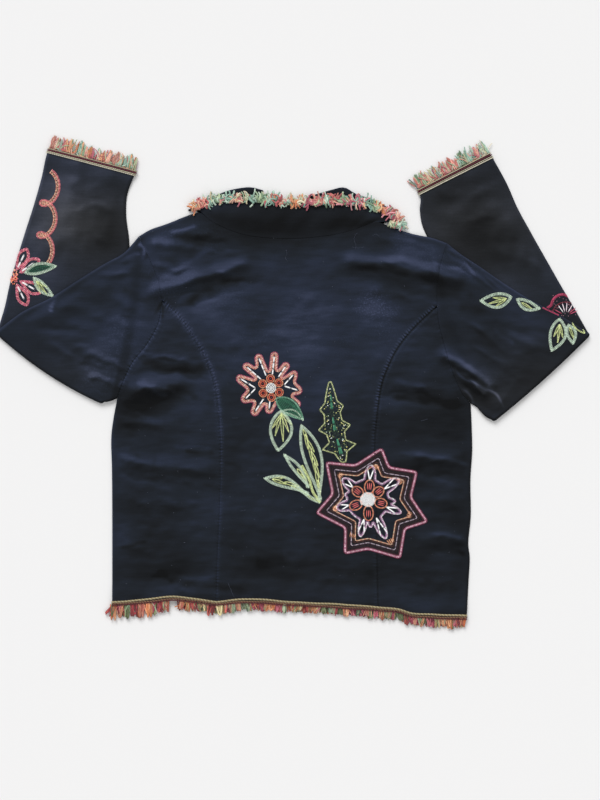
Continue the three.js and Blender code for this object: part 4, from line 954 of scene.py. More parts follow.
        # faces out: the first upper ring's top quad should look up
        a, b, c, d = verts[quads[n * 20 + 30]]
        normal = np.cross(b - a, c - a)
        if normal[2] < 0:
            quads = quads[:, ::-1]
        self.columns_n = n // 2
        arm = np.zeros(len(verts), bool)
        arm[self.first_fore * n:R * n] = True
        self.arm = arm
        rows_ = [self.plan(r, np.linspace(0, 1, 40)) for r in [*up, *fo[1:]]]
        along_ = np.r_[0, np.cumsum([np.hypot(*(b[19] - a[19])) for a, b in zip(rows_[:-1], rows_[1:])])]
        wide = max(np.hypot(*np.diff(r, axis=0).T).sum() for r in rows_)
        area = sum(plan_area(np.array([a, b])) for a, b in zip(rows_[:-1], rows_[1:]))
        return verts, quads


sleeves = {}
for name, s in (("left", "Left"), ("right", "Right")):
    sl = Sleeve(name, s)
    verts, quads = sl.build()
    sleeves[name] = sl
    PIECES["sleeve_" + name] = velvet_piece("velvet_sleeve_" + name, verts, quads, "sleeve_" + name, sl.arm, ring=sl.columns_n * 2)

# ---------------------------------------------------------------- collar
ACROSS = np.r_[0, 0.02, 0.06, np.linspace(0.14, 0.86, 10), 0.94, 0.98, 1]


def collar_wall(p, q, low_p, low_q, ripple=0.0):
    m = p + ACROSS[:, None] * (q - p)
    z = low_p + ACROSS * (low_q - low_p) + ripple * np.sin(math.pi * ACROSS) ** 2
    e = np.maximum(0.06 * round_over(ACROSS * 55, 1.6), 0.55 * round_over((1 - ACROSS) * 55, 1.6))
    return np.vstack([np.c_[m, z + CLOTH - e], np.c_[m, z + e][::-1]])


def bend(fold, angle):
    ix, iy, ox, oy, side = fold
    d = np.array([ox - ix, oy - iy])
    d /= np.hypot(*d)
    out = side * np.array([d[1], -d[0]])
    m = np.array([ix, iy]) + ACROSS[:, None] * np.array([ox - ix, oy - iy])
    e = 0.55 * np.maximum(round_over(ACROSS * 55, 1.6), round_over((1 - ACROSS) * 55, 1.6))

    def at(r):
        return np.c_[m + out * (r * math.sin(angle))[:, None], CLOTH + GAP + r * math.cos(angle)]
    return np.vstack([at(GAP + CLOTH - e), at(GAP + e)[::-1]])


over = CLOTH + 2 * GAP
fold_left, fold_right = (-130, 249.5, -148.5, 249.5, -1), (126, 238, 161.5, 227.5, 1)
under_loop = lambda loop: np.vstack([loop[len(loop) // 2:][::-1], loop[:len(loop) // 2][::-1]])
flip_loop = lambda loop: np.vstack([loop[:len(loop) // 2][::-1], loop[len(loop) // 2:][::-1]])


def front_rows(s, sign):
    n = 30
    ts = np.linspace(0, 1, n + 1)
    line = LINES["neckFront" + s].along(ts * 0.985)
    neck = inset(line, -sign, GAP)[3:]
    neck[-1, 1] += GAP
    edge = LINES["collarFront" + s].along(ts[3:])
    return [under_loop(flip_loop(collar_wall(e, k, 0, 0))) for e, k in zip(edge, neck)]


n_back = 96
neck = inset(LINES["neckBack"].along(np.linspace(0, 1, n_back + 1)), -1, 0.12)
shift = np.exp(-np.minimum(np.arange(n_back + 1), np.arange(n_back, -1, -1)) / 3.0)
neck += shift[:, None] * np.array([0.3, 1.15])
edge = LINES["collarBack"].along(np.linspace(0, 1, n_back + 1))
neck_low, _ = upper_faces(neck)
ripple = 1.6 + waves(edge, 31, 0.5, 45)
ripple *= smooth(0, 12, np.arange(n_back + 1)) * smooth(0, 12, np.arange(n_back, -1, -1))
angles = np.linspace(0, math.pi, 9)
sections = [*front_rows("Left", 1)[::-1], *[bend(fold_left, a) for a in angles[::-1]],
            *[collar_wall(p, q, lp, over, r) for p, q, lp, r in zip(neck, edge, neck_low, ripple)],
            *[bend(fold_right, a) for a in angles], *front_rows("Right", -1)]
n = len(sections[0])
verts = np.vstack(sections)
i = np.arange(n)
quads = [np.c_[r * n + i, r * n + (i + 1) % n, (r + 1) * n + (i + 1) % n, (r + 1) * n + i] for r in range(len(sections) - 1)]
half, last = n // 2, (len(sections) - 1) * n
k = np.arange(half - 1)
quads += [np.c_[k, n - 1 - k, n - 2 - k, k + 1], np.c_[last + k, last + k + 1, last + n - 2 - k, last + n - 1 - k]]
quads = np.vstack(quads)
mid = (len(sections) // 2 * n) + 6
q = quads[mid]
if np.cross(verts[q[1]] - verts[q[0]], verts[q[2]] - verts[q[0]])[2] < 0:
    quads = quads[:, ::-1]
fronts_area = sum(plan_area(np.array([LINES["neckFront" + s].along(np.linspace(0.1, 1, 20)), LINES["collarFront" + s].along(np.linspace(0.1, 1, 20))]))
                  for s in ("Left", "Right"))
PIECES["collar"] = velvet_piece("velvet_collar", verts, quads, "collar")


# ---------------------------------------------------------------- the surfaces that trimming lies on
def tree(objects, keep=None):
    verts, polys, first = [], [], 0
    for o in objects:
        co = np.zeros(len(o.data.vertices) * 3, np.float32)
        o.data.vertices.foreach_get("co", co)
        verts.append(co.reshape(-1, 3).astype(float))
        f = np.zeros(len(o.data.loops), np.int32)
        o.data.loops.foreach_get("vertex_index", f)
        three = 4 * len(o.data.polygons) - len(f)          # the last faces, with three corners
        f = f[:len(f) - 3 * three].reshape(-1, 4)
        if keep is not None:
            f = f[keep(f)]
        polys.append(f + first)
        first += len(verts[-1])
    return BVHTree.FromPolygons(np.vstack(verts).tolist(), np.vstack(polys).tolist())


BODY = ["back_centre", "back_side_left", "back_side_right"]
ALL = tree([PIECES[k] for k in [*BODY, "sleeve_left", "sleeve_right", "collar"]])
TREES = {"body": tree([PIECES[k] for k in BODY]), "collar": tree([PIECES["collar"]])}
for name, sl in sleeves.items():
    n = sl.columns_n * 2
    o = PIECES["sleeve_" + name]
    TREES["upper_" + name] = tree([o], lambda f: (f.max(1) < (sl.n_upper + 1) * n))
    TREES["fore_" + name] = tree([o], lambda f: (f.min(1) >= sl.first_fore * n) & (f.max(1) < len(sl.outer) * n))
DOWN = Vector((0, 0, -1))


def surface(region, P):
    """Height and normal of a region's top at plan points, and whether it shows there."""
    z, n, ok = np.zeros(len(P)), np.zeros((len(P), 3)), np.zeros(len(P), bool)
    for i, (x, y) in enumerate((P - ORIGIN) / 1000):
        hit, normal, _, _ = TREES[region].ray_cast(Vector((x, y, 0.1)), DOWN)
        if hit is None:
            continue
        first = ALL.ray_cast(Vector((x, y, 0.1)), DOWN)[0]
        z[i], n[i] = hit.z * 1000, normal if normal.z > 0 else -normal
        ok[i] = first is None or first.z - hit.z < 0.0008
    return z, n, ok


# ---------------------------------------------------------------- yarns
def colour(r, g, b):
    c = np.array([r, g, b]) / 255
    return np.where(c <= 0.04045, c / 12.92, ((c + 0.055) / 1.055) ** 2.4)


PEACH, CORAL, ORANGE = colour(228, 150, 122), colour(212, 92, 66), colour(222, 104, 58)
ROSE, PINK, MAGENTA = colour(190, 74, 96), colour(206, 120, 140), colour(196, 48, 100)
LILAC, CREAM, WHITE = colour(196, 156, 184), colour(228, 218, 184), colour(240, 243, 248)
MINT, TEAL, GREEN = colour(146, 186, 160), colour(90, 144, 128), colour(44, 122, 84)
LIME, SAGE, OLIVE = colour(176, 194, 104), colour(146, 172, 132), colour(124, 126, 70)
KHAKI, BROWN, RED, DARKGREEN = colour(158, 148, 92), colour(62, 34, 36), colour(168, 42, 52), colour(26, 52, 44)


def tubes(paths, radius, sides=5, ply=0.0, twist=1.1):
    """Closed tubes along paths (S, K, 3). ply makes the section an oval that turns along the yarn, as two plies do."""
    paths = np.asarray(paths, float)
    S, K = paths.shape[:2]
    t = np.gradient(paths, axis=1)
    t /= np.maximum(np.linalg.norm(t, axis=2, keepdims=True), 1e-9)
    up = np.zeros_like(t)
    up[..., 2] = 1
    flat = np.abs(t[..., 2:]) > 0.93
    up = np.where(flat, np.array([0.0, 1.0, 0.0]), up)
    a = np.cross(t, up)
    a /= np.maximum(np.linalg.norm(a, axis=2, keepdims=True), 1e-9)
    b = np.cross(a, t)
    phi = np.arange(sides) * 2 * math.pi / sides
    r = np.broadcast_to(np.asarray(radius, float), (S, K)) if np.ndim(radius) else np.full((S, K), float(radius))
    turn = twist * np.arange(K)[None, :, None] + np.arange(S)[:, None, None]
    rr = r[..., None] * (1 + ply * np.cos(2 * (phi - turn)))
    ring = paths[:, :, None] + rr[..., None] * (np.cos(phi)[:, None] * a[:, :, None] + np.sin(phi)[:, None] * b[:, :, None])
    ends = np.stack([paths[:, 0] - t[:, 0] * r[:, :1] * 0.6, paths[:, -1] + t[:, -1] * r[:, -1:] * 0.6], axis=1)
    per = K * sides + 2
    verts = np.concatenate([ring.reshape(S, -1, 3), ends], axis=1).reshape(-1, 3)
    k, j = np.meshgrid(np.arange(K - 1), np.arange(sides), indexing="ij")
    q = np.stack([k * sides + j, k * sides + (j + 1) % sides, (k + 1) * sides + (j + 1) % sides, (k + 1) * sides + j], -1).reshape(-1, 4)
    j = np.arange(sides)
    c0 = np.stack([np.full(sides, K * sides), (j + 1) % sides, j], -1)
    c1 = np.stack([np.full(sides, K * sides + 1), (K - 1) * sides + j, (K - 1) * sides + (j + 1) % sides], -1)
    first = (np.arange(S) * per)[:, None, None]
    quads = (q[None] + first).reshape(-1, 4)
    tris = (np.vstack([c0, c1])[None] + first).reshape(-1, 3)
    return verts, quads[:, ::-1], tris[:, ::-1], per


class Yarns:
    """Many tubes gathered into one mesh."""

    def __init__(self):
        self.v, self.q, self.t, self.c, self.n = [], [], [], [], 0

    def add(self, paths, radius, colours, sides=5, ply=0.0, twist=1.1, fleck=0.12):
        v, q, t, per = tubes(paths, radius, sides, ply, twist)
        S = len(paths)
        c = np.repeat(np.asarray(colours, float).reshape(S, 3), per, axis=0)
        shade = 1 + fleck * np.repeat(rng.uniform(-1, 1, (S, 1)), per, axis=0) + 0.5 * fleck * rng.uniform(-1, 1, (S * per, 1))
        self.v.append(v)
        self.q.append(q + self.n)
        self.t.append(t + self.n)
        self.c.append(np.clip(c * shade, 0, 1))
        self.n += len(v)

    def make(self, name, slot, *nodes):
        v = np.vstack(self.v)
        v[:, 2] = np.maximum(v[:, 2], 0.05)    # yarn that meets the surface lies on it
        o = shown(name, v, np.vstack(self.q), np.vstack(self.t), np.vstack(self.c))
        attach(o, "root")
        if nodes:
            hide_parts(*nodes)
        return o


def resample(points, pitch, closed=False):
    p = np.asarray(points, float)
    if closed:
        p = np.vstack([p, p[:1]])
    s = np.r_[0, np.cumsum(np.hypot(*np.diff(p[:, :2], axis=0).T))]
    n = max(int(round(s[-1] / pitch)), 1)
    q = np.linspace(0, s[-1], n + 1)
    if closed:
        q = q[:-1]
    return np.stack([np.interp(q, s, p[:, k]) for k in range(p.shape[1])], axis=1)


# ---------------------------------------------------------------- chain stitch and satin stitch
SIDES = 5
phi = np.arange(SIDES) * 2 * math.pi / SIDES
RINGS = [(-0.55, 0.86), (0.40, 0.90)]
BLOB = np.vstack([[(-1, 0, 0)]] + [np.c_[np.full(SIDES, x), r * np.cos(phi), r * np.sin(phi)] for x, r in RINGS] + [[(1, 0, 0)]])
j = np.arange(SIDES)
BLOB_TRIS = np.vstack([np.c_[np.zeros(SIDES, int), 1 + (j + 1) % SIDES, 1 + j],
                       np.c_[1 + j, 1 + (j + 1) % SIDES, 1 + SIDES + (j + 1) % SIDES],
                       np.c_[1 + j, 1 + SIDES + (j + 1) % SIDES, 1 + SIDES + j],
                       np.c_[np.full(SIDES, 1 + 2 * SIDES), 1 + SIDES + j, 1 + SIDES + (j + 1) % SIDES]])


class Stitches:
    def __init__(self, region):
        self.region, self.rows = region, []

    def add(self, centres, directions, half, colours, lift=0.25):
        """Stitches at plan points, along plan directions; half is their half length, width and height."""
        n = len(centres)
        if n == 0:
            return
        half = np.broadcast_to(np.asarray(half, float), (n, 3))
        colours = np.broadcast_to(np.asarray(colours, float), (n, 3))
        colours = 1.32 * (0.86 * colours + 0.14 * colours.mean(1, keepdims=True))
        self.rows.append((np.asarray(centres, float), np.asarray(directions, float), half, colours, np.full(n, lift)))

    def chain(self, points, col, width=2.3, pitch=2.3, closed=False, second=None, every=0):
        p = resample(points, pitch, closed)
        if len(p) < 2:
            return
        if closed:
            t = np.roll(p, -1, axis=0) - np.roll(p, 1, axis=0)
        else:
            t = np.gradient(p, axis=0)
        t /= np.maximum(np.hypot(*t.T), 1e-9)[:, None]
        nrm = np.c_[-t[:, 1], t[:, 0]]
        cols = np.tile(col, (len(p), 1))
        if second is not None:
            mix = (0.5 + 0.5 * np.sin(np.arange(len(p)) * 0.9))[:, None] if not every else ((np.arange(len(p)) % every) == 0)[:, None]
            cols = np.where(mix > 0.5, second, cols)
        cols = cols * (1 + 0.24 * rng.uniform(-1, 1, (len(p), 1)))
        for side in (1, -1):
            a = side * 0.34
            d = np.c_[t[:, 0] * math.cos(a) - t[:, 1] * math.sin(a), t[:, 0] * math.sin(a) + t[:, 1] * math.cos(a)]
            self.add(p + side * 0.25 * width * nrm, d, (0.56 * pitch, 0.25 * width, 0.6), cols)

    def satin(self, p, q, col, width=0.9, lift=0.3):
        p, q = np.atleast_2d(p).astype(float), np.atleast_2d(q).astype(float)
        d = q - p
        length = np.hypot(*d.T)
        parts = np.maximum((length / 9).astype(int), 1)
        for a, dd, l, n in zip(p, d, length, parts):
            t = (np.arange(n) + 0.5) / n
            cols = np.asarray(col) * (1 + 0.12 * rng.uniform(-1, 1, (n, 1)))
            self.add(a + t[:, None] * dd, np.tile(dd / max(l, 1e-9), (n, 1)), (l / n / 2 * 1.12, width / 2, 0.42), cols, lift)

    def knots(self, points, col, size=0.9):
        points = np.atleast_2d(points)
        d = rng.uniform(-1, 1, (len(points), 2))
        d /= np.hypot(*d.T)[:, None]
        cols = np.asarray(col) * (1 + 0.12 * rng.uniform(-1, 1, (len(points), 1)))
        self.add(points, d, (size, size * 0.92, size * 0.8), cols, 0.35)

    def under(self, loop, first=0):
        """Leave out the stitches so far (from the row named) that lie inside a loop."""
        for k in range(first, len(self.rows)):
            keep_ = ~inside(self.rows[k][0], loop)
            self.rows[k] = tuple(part[keep_] for part in self.rows[k])

    def make(self, name, slot="fringe_yarn"):
        P, D, H, C, L = (np.concatenate([r[k] for r in self.rows]) for k in range(5))
        z, n, ok = surface(self.region, P)
        P, D, H, C, L, z, n = P[ok], D[ok], H[ok], C[ok], L[ok], z[ok], n[ok]
        x = np.c_[D, np.zeros(len(D))]
        x -= (x * n).sum(1)[:, None] * n
        x /= np.linalg.norm(x, axis=1)[:, None]
        y = np.cross(n, x)
        centre = np.c_[P, z] + L[:, None] * n
        v = (centre[:, None] + BLOB[None, :, :1] * H[:, None, :1] * x[:, None] + BLOB[None, :, 1:2] * H[:, None, 1:2] * y[:, None]
             + BLOB[None, :, 2:] * H[:, None, 2:] * n[:, None])
        nb = len(BLOB)
        tris = (BLOB_TRIS[None] + (np.arange(len(P)) * nb)[:, None, None]).reshape(-1, 3)
        o = shown(name, v.reshape(-1, 3), None, tris, np.clip(np.repeat(C, nb, axis=0), 0, 1))
        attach(o, "root")
        return o


def ring_points(centre, radius, n=64):
    a = np.linspace(0, 2 * math.pi, n, endpoint=False)
    r = radius(a) if callable(radius) else radius
    return px(*centre) + MM_PER_PX * np.c_[r * np.cos(a), r * np.sin(a)]


def star_points(centre, outer, inner, points, start, wobble=0.0, seed=0):
    r = np.random.RandomState(seed)
    out = []
    for i in range(points):
        a = start + 2 * math.pi * i / points
        b = a + math.pi / points
        k, m = 1 + wobble * r.uniform(-1, 1), 1 + wobble * r.uniform(-1, 1)
        out += [(math.cos(a) * outer * k, math.sin(a) * outer * k), (math.cos(b) * inner * m, math.sin(b) * inner * m)]
    return px(*centre) + MM_PER_PX * np.array(out)


def leaf_edges(base_, tip, width, bend_, n=28, belly=0.45):
    """Two sides of a leaf between two pixels: widest at the share belly of its length, curved by bend_."""
    a, b = px(*base_), px(*tip)
    d = b - a
    l = np.hypot(*d)
    u, v = d / l, np.array([-d[1], d[0]]) / l
    t = np.linspace(0, 1, n)
    power = math.log(0.5) / math.log(belly)
    half = width * MM_PER_PX / 2 * np.sin(math.pi * t ** power) ** 0.85
    mid = a + np.outer(t * l, u) + np.outer(bend_ * MM_PER_PX * np.sin(math.pi * t), v)
    return mid + half[:, None] * v, mid - half[:, None] * v, mid


def offset_loop(loop, amount):
    """A closed line moved sideways: in where amount is positive."""
    t = np.roll(loop, -1, axis=0) - np.roll(loop, 1, axis=0)
    t /= np.maximum(np.hypot(*t.T), 1e-9)[:, None]
    area = np.sum(loop[:, 0] * np.roll(loop[:, 1], -1) - np.roll(loop[:, 0], -1) * loop[:, 1])
    return loop + amount * np.sign(area) * np.c_[-t[:, 1], t[:, 0]]


def thick(st, loop, rows, closed=True, pitch=2.2):
    """Rows of chain stitch side by side: (sideways place, width, colour)."""
    for off, width, col, *rest in rows:
        moved = offset_loop(loop, off) if closed else inset(loop, 1, off)
        st.chain(moved, col, width, pitch, closed=closed, second=rest[0] if rest else None, every=rest[1] if rest else 0)


def frond(st, p, q, width, col, cord=1.5):
    """A narrow loop of chain stitch with a dark slit, as a vein of a leaf."""
    p, q = np.asarray(p, float), np.asarray(q, float)
    t = np.linspace(0, 1, 12)[:, None]
    d = q - p
    v = np.array([-d[1], d[0]]) / max(np.hypot(*d), 1e-9)
    w = 0.8 * width * np.sin(math.pi * t ** 0.7) ** 0.8 / 2
    for s_ in (-1, 1):
        st.chain(p + t * d + s_ * w * v, col * (1 + 0.10 * s_), cord, 1.9)


def leaf(st, base_, tip, width, bend_, veins, edge=None, fill=None, belly=0.45, edge_width=2.3, rows=2, vein=None, spread=0.8):
    edge = PALE if edge is None else edge
    vein = LIME if vein is None else vein
    left_, right_, mid = leaf_edges(base_, tip, width, bend_, belly=belly)
    loop = resample(np.vstack([left_, right_[::-1][1:-1]]), 1.5, True)
    thick(st, loop, [(0.9 + k * edge_width * 0.86, edge_width, edge * (1.0 - 0.12 * k)) for k in range(rows)])
    n = len(mid)
    inner = 1 - (0.9 + rows * edge_width * 0.86) / max(width * MM_PER_PX / 2, 4)
    if fill is not None:
        for f in np.linspace(-inner, inner, max(int(width * inner * MM_PER_PX / 1.5), 3)):
            side_ = left_ if f > 0 else right_
            row = mid + (side_ - mid) * abs(f)
            st.chain(row[3:-3], fill * (1 + 0.3 * rng.uniform(-1, 1)), 1.7, 2.6)
    for f, turn, length, w in veins:
        k = min(int(f * n), n - 2)
        d = mid[min(k + 1, n - 1)] - mid[max(k - 1, 0)]
        a = math.atan2(d[1], d[0]) + math.radians(turn)
        frond(st, mid[k], mid[k] + length * MM_PER_PX * np.array([math.cos(a), math.sin(a)]), w * MM_PER_PX, vein * (1 + 0.12 * rng.uniform(-1, 1)))


PALE = colour(178, 198, 176)
LIME = colour(198, 210, 138)

# the round flower: one rounded petal a row, its direction in degrees and its length in pixels
flower = Stitches("body")
centre = (271, 388)
PETALS = [(112, 36, 98, 17), (84, 36, 70, 19), (56, 30, 43, 15), (31, 30, 13, 25), (-5, 31, -19, 23), (-32, 34, -62, 15), (-95, 25.5, -109, 17),
          (-124, 32.5, -141, 22), (-157, 32, -176, 24), (163, 36, 150, 18), (139, 36, 126, 26)]
points_ = []
for turn, length, low_turn, low in PETALS:
    wide = math.degrees(3.6 / length)
    points_ += [(turn + wide, length - 1.2), (turn, length + 0.4), (turn - wide, length - 1.2), (low_turn + 1.5, low), (low_turn - 1.5, low)]
loop = np.array([px(centre[0] + r * math.cos(math.radians(a)), centre[1] - r * math.sin(math.radians(a))) for a, r in points_])
loop = resample(loop, 1.2, True)
for _ in range(6):
    loop = (np.roll(loop, 1, axis=0) + 2 * loop + np.roll(loop, -1, axis=0)) / 4
thick(flower, loop, [(-0.4, 1.3, colour(170, 70, 100)), (1.1, 2.1, colour(228, 170, 154), colour(220, 142, 134), 4), (3.0, 1.9, colour(214, 138, 118), colour(236, 186, 164), 5)])
for turn, length, _, _ in PETALS:
    c, s_ = math.cos(math.radians(turn)), math.sin(math.radians(turn))
    first = 13.0
    start_dir = turn
    if turn in (163, -157):
        start_dir = 180 if turn == 163 else -178
        first = 15.5
    if turn in (31, -5):
        start_dir, first = 13 if turn == 31 else 8, 13.5
    c0, s0 = math.cos(math.radians(start_dir)), math.sin(math.radians(start_dir))
    p = px(centre[0] + first * c0, centre[1] - first * s0)
    q = px(centre[0] + (length - 4.0) * c, centre[1] - (length - 4.0) * s_)
    side_ = 0.5 * np.array([-s_, c])
    flower.satin([p + side_, p - side_], [q + side_, q - side_], WHITE, 1.15, 0.6)
for i in range(6):
    a_ = 2 * math.pi * (i + 0.55) / 6
    c = (centre[0] + 9.4 * math.cos(a_), centre[1] - 9.4 * math.sin(a_))
    flower.chain(ring_points(c, 3.9, 26), colour(252, 158, 112), 1.5, 1.9, closed=True, second=colour(246, 118, 70), every=3)
    flower.chain(ring_points(c, 2.3, 16), colour(236, 96, 58), 1.5, 1.8, closed=True)
    flower.knots(ring_points(c, 0.3, 2), colour(120, 40, 34), 0.8)
for r_, n_ in ((0, 1), (1.5, 6), (3.0, 12), (4.5, 18)):
    flower.knots(ring_points(centre, r_, n_), colour(250, 250, 252), 1.15)
left_, right_, _ = leaf_edges((276, 398), (304, 420), 18, 1, belly=0.42)
flower.under(np.vstack([left_, right_[::-1][1:-1]]))
flower.make("stitch_round_flower")

# its leaves: each with the places, turns, lengths and widths of the fronds inside it
leaves = Stitches("body")
leaf(leaves, (276, 398), (304, 420), 16, 1, [], edge=colour(118, 168, 140), fill=colour(40, 104, 76), rows=1, belly=0.42)
leaf(leaves, (281, 411), (304, 421), 6, 3.5, [], rows=1)
leaf(leaves, (281, 410), (278, 452), 24, 1.5, [(0.08, 40, 16, 2.8), (0.10, 20, 20, 2.8), (0.10, 2, 28, 3.0), (0.10, -17, 23, 2.8), (0.12, -36, 16, 2.6)], belly=0.46)
leaf(leaves, (320, 501), (301, 424), 20, -3.5, [(0.92, 180, 13, 2.6), (0.83, 170, 14, 2.8), (0.76, 191, 13, 2.6), (0.69, 172, 16, 2.8), (0.62, 189, 15, 2.8),
                                                  (0.54, 175, 16, 3.0), (0.47, 187, 15, 2.8), (0.38, 179, 16, 3.0), (0.28, 182, 14, 2.6)], belly=0.60)
leaf(leaves, (309, 488), (283.5, 454), 9, -2.0, [(0.50, 180, 11, 3.2), (0.36, 186, 8, 3.0)], belly=0.55)
leaf(leaves, (309, 495), (263.5, 478), 12, -3.5, [(0.82, 170, 14, 2.8), (0.80, 200, 13, 2.6), (0.55, 182, 14, 3.2)], belly=0.62)
stem = Line([px(302, 466), px(309, 479), px(313, 492), px(320, 502)]).along(np.linspace(0, 1, 20))
for off in (-0.9, 0.9):
    leaves.chain(inset(stem, 1, off), LIME, 2.2, 2.1)
low_stem = Line([px(292, 486), px(302, 491), px(311, 498), px(320, 502)]).along(np.linspace(0, 1, 20))
for off in (-1.7, 1.7):
    leaves.chain(inset(low_stem, 1, off), PALE, 2.3, 2.1)
leaves.chain(low_stem, LIME, 1.8, 2.1)
leaves.make("stitch_leaves")

# the dark thorned leaf: a bent leaf with even pairs of thorns, by place, side and reach
thorn = Stitches("body")
THORNS = [(at, side, reach) for at, reach in ((0.20, 12), (0.44, 9), (0.68, 6)) for side in (1, -1)]
foot, top = px(344, 463), px(330, 381)
axis_ = (top - foot) / np.hypot(*(top - foot))
cross = np.array([-axis_[1], axis_[0]])
t_ = np.linspace(0.01, 0.99, 150)
spine = foot + np.outer(t_, top - foot) + np.outer(5.0 * np.sin(math.pi * t_), cross)
sides_ = []
for side in (1, -1):
    half = 1.0 + 12.0 * np.sin(math.pi * t_ ** 0.8) ** 0.8
    for at, which, reach in THORNS:
        half = half + (which == side) * reach * MM_PER_PX * 0.8 * np.clip(1 - np.abs(t_ - at) / 0.07, 0, 1)
    sides_.append(spine + side * np.outer(half, cross))
soft = resample(np.vstack([sides_[0], sides_[1][::-1]]), 1.2, True)
thick(thorn, soft, [(0.2, 1.9, colour(196, 202, 142), colour(160, 172, 110), 3)], pitch=2.0)
box_lo, box_hi = soft.min(0), soft.max(0)
r_ = np.random.RandomState(9)
pts = r_.uniform(box_lo, box_hi, (3600, 2))
edge_at = to_segments(pts, np.vstack([soft, soft[:1]]))[0]
pts, edge_at = pts[inside(pts, soft) & (edge_at > 2.0)], edge_at[inside(pts, soft) & (edge_at > 2.0)]
dirs = r_.uniform(-1, 1, (len(pts), 2))
dirs /= np.hypot(*dirs.T)[:, None]
few = slice(0, 520)
thorn.add(pts[few], dirs[few], (2.4, 0.7, 0.3), np.tile(colour(20, 40, 34), (len(pts[few]), 1)) * r_.uniform(0.4, 1.3, (len(pts[few]), 1)), 0.12)
close = np.where((edge_at > 2.6) & (edge_at < 6.0))[0][:70]
shades = np.array([colour(214, 206, 120), WHITE, PALE, colour(150, 160, 90)])[r_.choice(4, len(close), p=[0.42, 0.22, 0.2, 0.16])]
thorn.add(pts[close], dirs[close], (0.95, 0.75, 0.6), shades, 0.5)
far = np.where(edge_at > 6.0)[0][:34]
thorn.add(pts[far], dirs[far], (0.7, 0.6, 0.5), np.tile(colour(150, 160, 100), (len(far), 1)), 0.45)
for a_, b_, w_ in ((14, 44, 4.6), (58, 84, 4.0), (98, 126, 3.4)):
    p_, q_ = spine[b_], spine[a_]
    for f in np.linspace(-0.5, 0.5, 5):
        o_ = np.array([-(q_ - p_)[1], (q_ - p_)[0]]) / np.hypot(*(q_ - p_)) * f * w_ * MM_PER_PX * 0.7
        thorn.satin(p_ + 0.3 * o_, q_ + o_, colour(54, 134, 102) * r_.uniform(0.5, 1.1), 1.0, 0.4)
thorn.make("stitch_thorned_leaf")

# the star flower: one point a row, its direction in degrees and its length, then the direction and depth of the valley after it
star = Stitches("body")
centre = (368, 500)
POINTS = [(138, 58, 110, 38), (75, 55, 57, 40), (30, 58, 4, 44), (-20, 65, -38, 48), (-61, 68, -90, 50), (-114, 60, -130, 37), (-166, 55, 170, 37)]


def star_line(shrink, soften=2):
    """The star's outline drawn in by shrink pixels, with soft corners."""
    P = []
    for a0, r0, a1, r1 in POINTS:
        P += [(math.radians(a0), r0), (math.radians(a1), r1)]
    raw = px(*centre) + MM_PER_PX * np.array([(r * math.cos(a), r * math.sin(a)) for a, r in P])
    n_ = len(raw)
    moved = []
    for i in range(n_):
        a_, b_, c_ = raw[i - 1], raw[i], raw[(i + 1) % n_]
        d1, d2 = (b_ - a_) / np.hypot(*(b_ - a_)), (c_ - b_) / np.hypot(*(c_ - b_))
        n1, n2 = np.array([-d1[1], d1[0]]), np.array([-d2[1], d2[0]])
        area = -1                                     # the rows go clockwise
        m = (n1 + n2) / (1 + n1 @ n2)
        moved.append(b_ + area * shrink * MM_PER_PX * m)
    loop_ = resample(np.array(moved), 1.2, True)
    for _ in range(soften):
        loop_ = (np.roll(loop_, 1, axis=0) + 2 * loop_ + np.roll(loop_, -1, axis=0)) / 4
    return loop_


outline = star_line(1.0, 14)
thick(star, outline, [(-1.1, 1.2, colour(138, 52, 86)), (0.5, 2.3, colour(218, 168, 184), colour(198, 128, 154), 3), (2.1, 1.1, colour(150, 74, 100))])
for k, shrink in enumerate((3.3, 4.5, 5.7)):
    star.chain(star_line(shrink, 8), (colour(58, 24, 30), colour(26, 16, 20), colour(46, 22, 26))[k], 1.9, 2.3, closed=True)
star.chain(star_line(7.3, 5), colour(206, 186, 200), 1.2, 2.0, closed=True, second=colour(120, 96, 116), every=4)
for k, shrink in enumerate((8.6, 9.8)):
    star.chain(star_line(shrink, 5), (colour(28, 17, 20), colour(72, 34, 26))[k], 1.8, 2.3, closed=True)
star.chain(star_line(11.3, 5), colour(228, 182, 148), 1.6, 2.0, closed=True, second=colour(214, 140, 108), every=3)
for a0, r0, _, _ in POINTS:                         # tufts inside the points
    a_ = math.radians(a0)
    for off in (-0.07, -0.02, 0.03, 0.08):
        p = px(centre[0] + (r0 - 23.5) * math.cos(a_ + off), centre[1] - (r0 - 23.5) * math.sin(a_ + off))
        q = px(centre[0] + (r0 - 18.5) * math.cos(a_ + 0.6 * off), centre[1] - (r0 - 18.5) * math.sin(a_ + 0.6 * off))
        star.satin(p, q, colour(224, 152, 104) * rng.uniform(0.8, 1.1), 1.3)
# seven uneven inner arms: direction, length, half width in degrees
ARMS = [(85, 35.5, 15), (34, 38, 14), (-3, 28, 9), (-21, 36, 11), (-65, 43, 12), (-84, 28, 8), (-102, 38, 10), (-165, 33, 14), (166, 24, 8), (140, 33.5, 14)]


def arm_edge(a):
    r = np.full(len(a), 21.0)
    for turn, length, wide in ARMS:
        d = np.degrees(np.abs((a - math.radians(turn) + math.pi) % (2 * math.pi) - math.pi))
        r = np.maximum(r, 21.0 + (length - 21.0) * np.clip(1 - (d / wide) ** 1.5, 0, 1) ** 0.8)
    return r


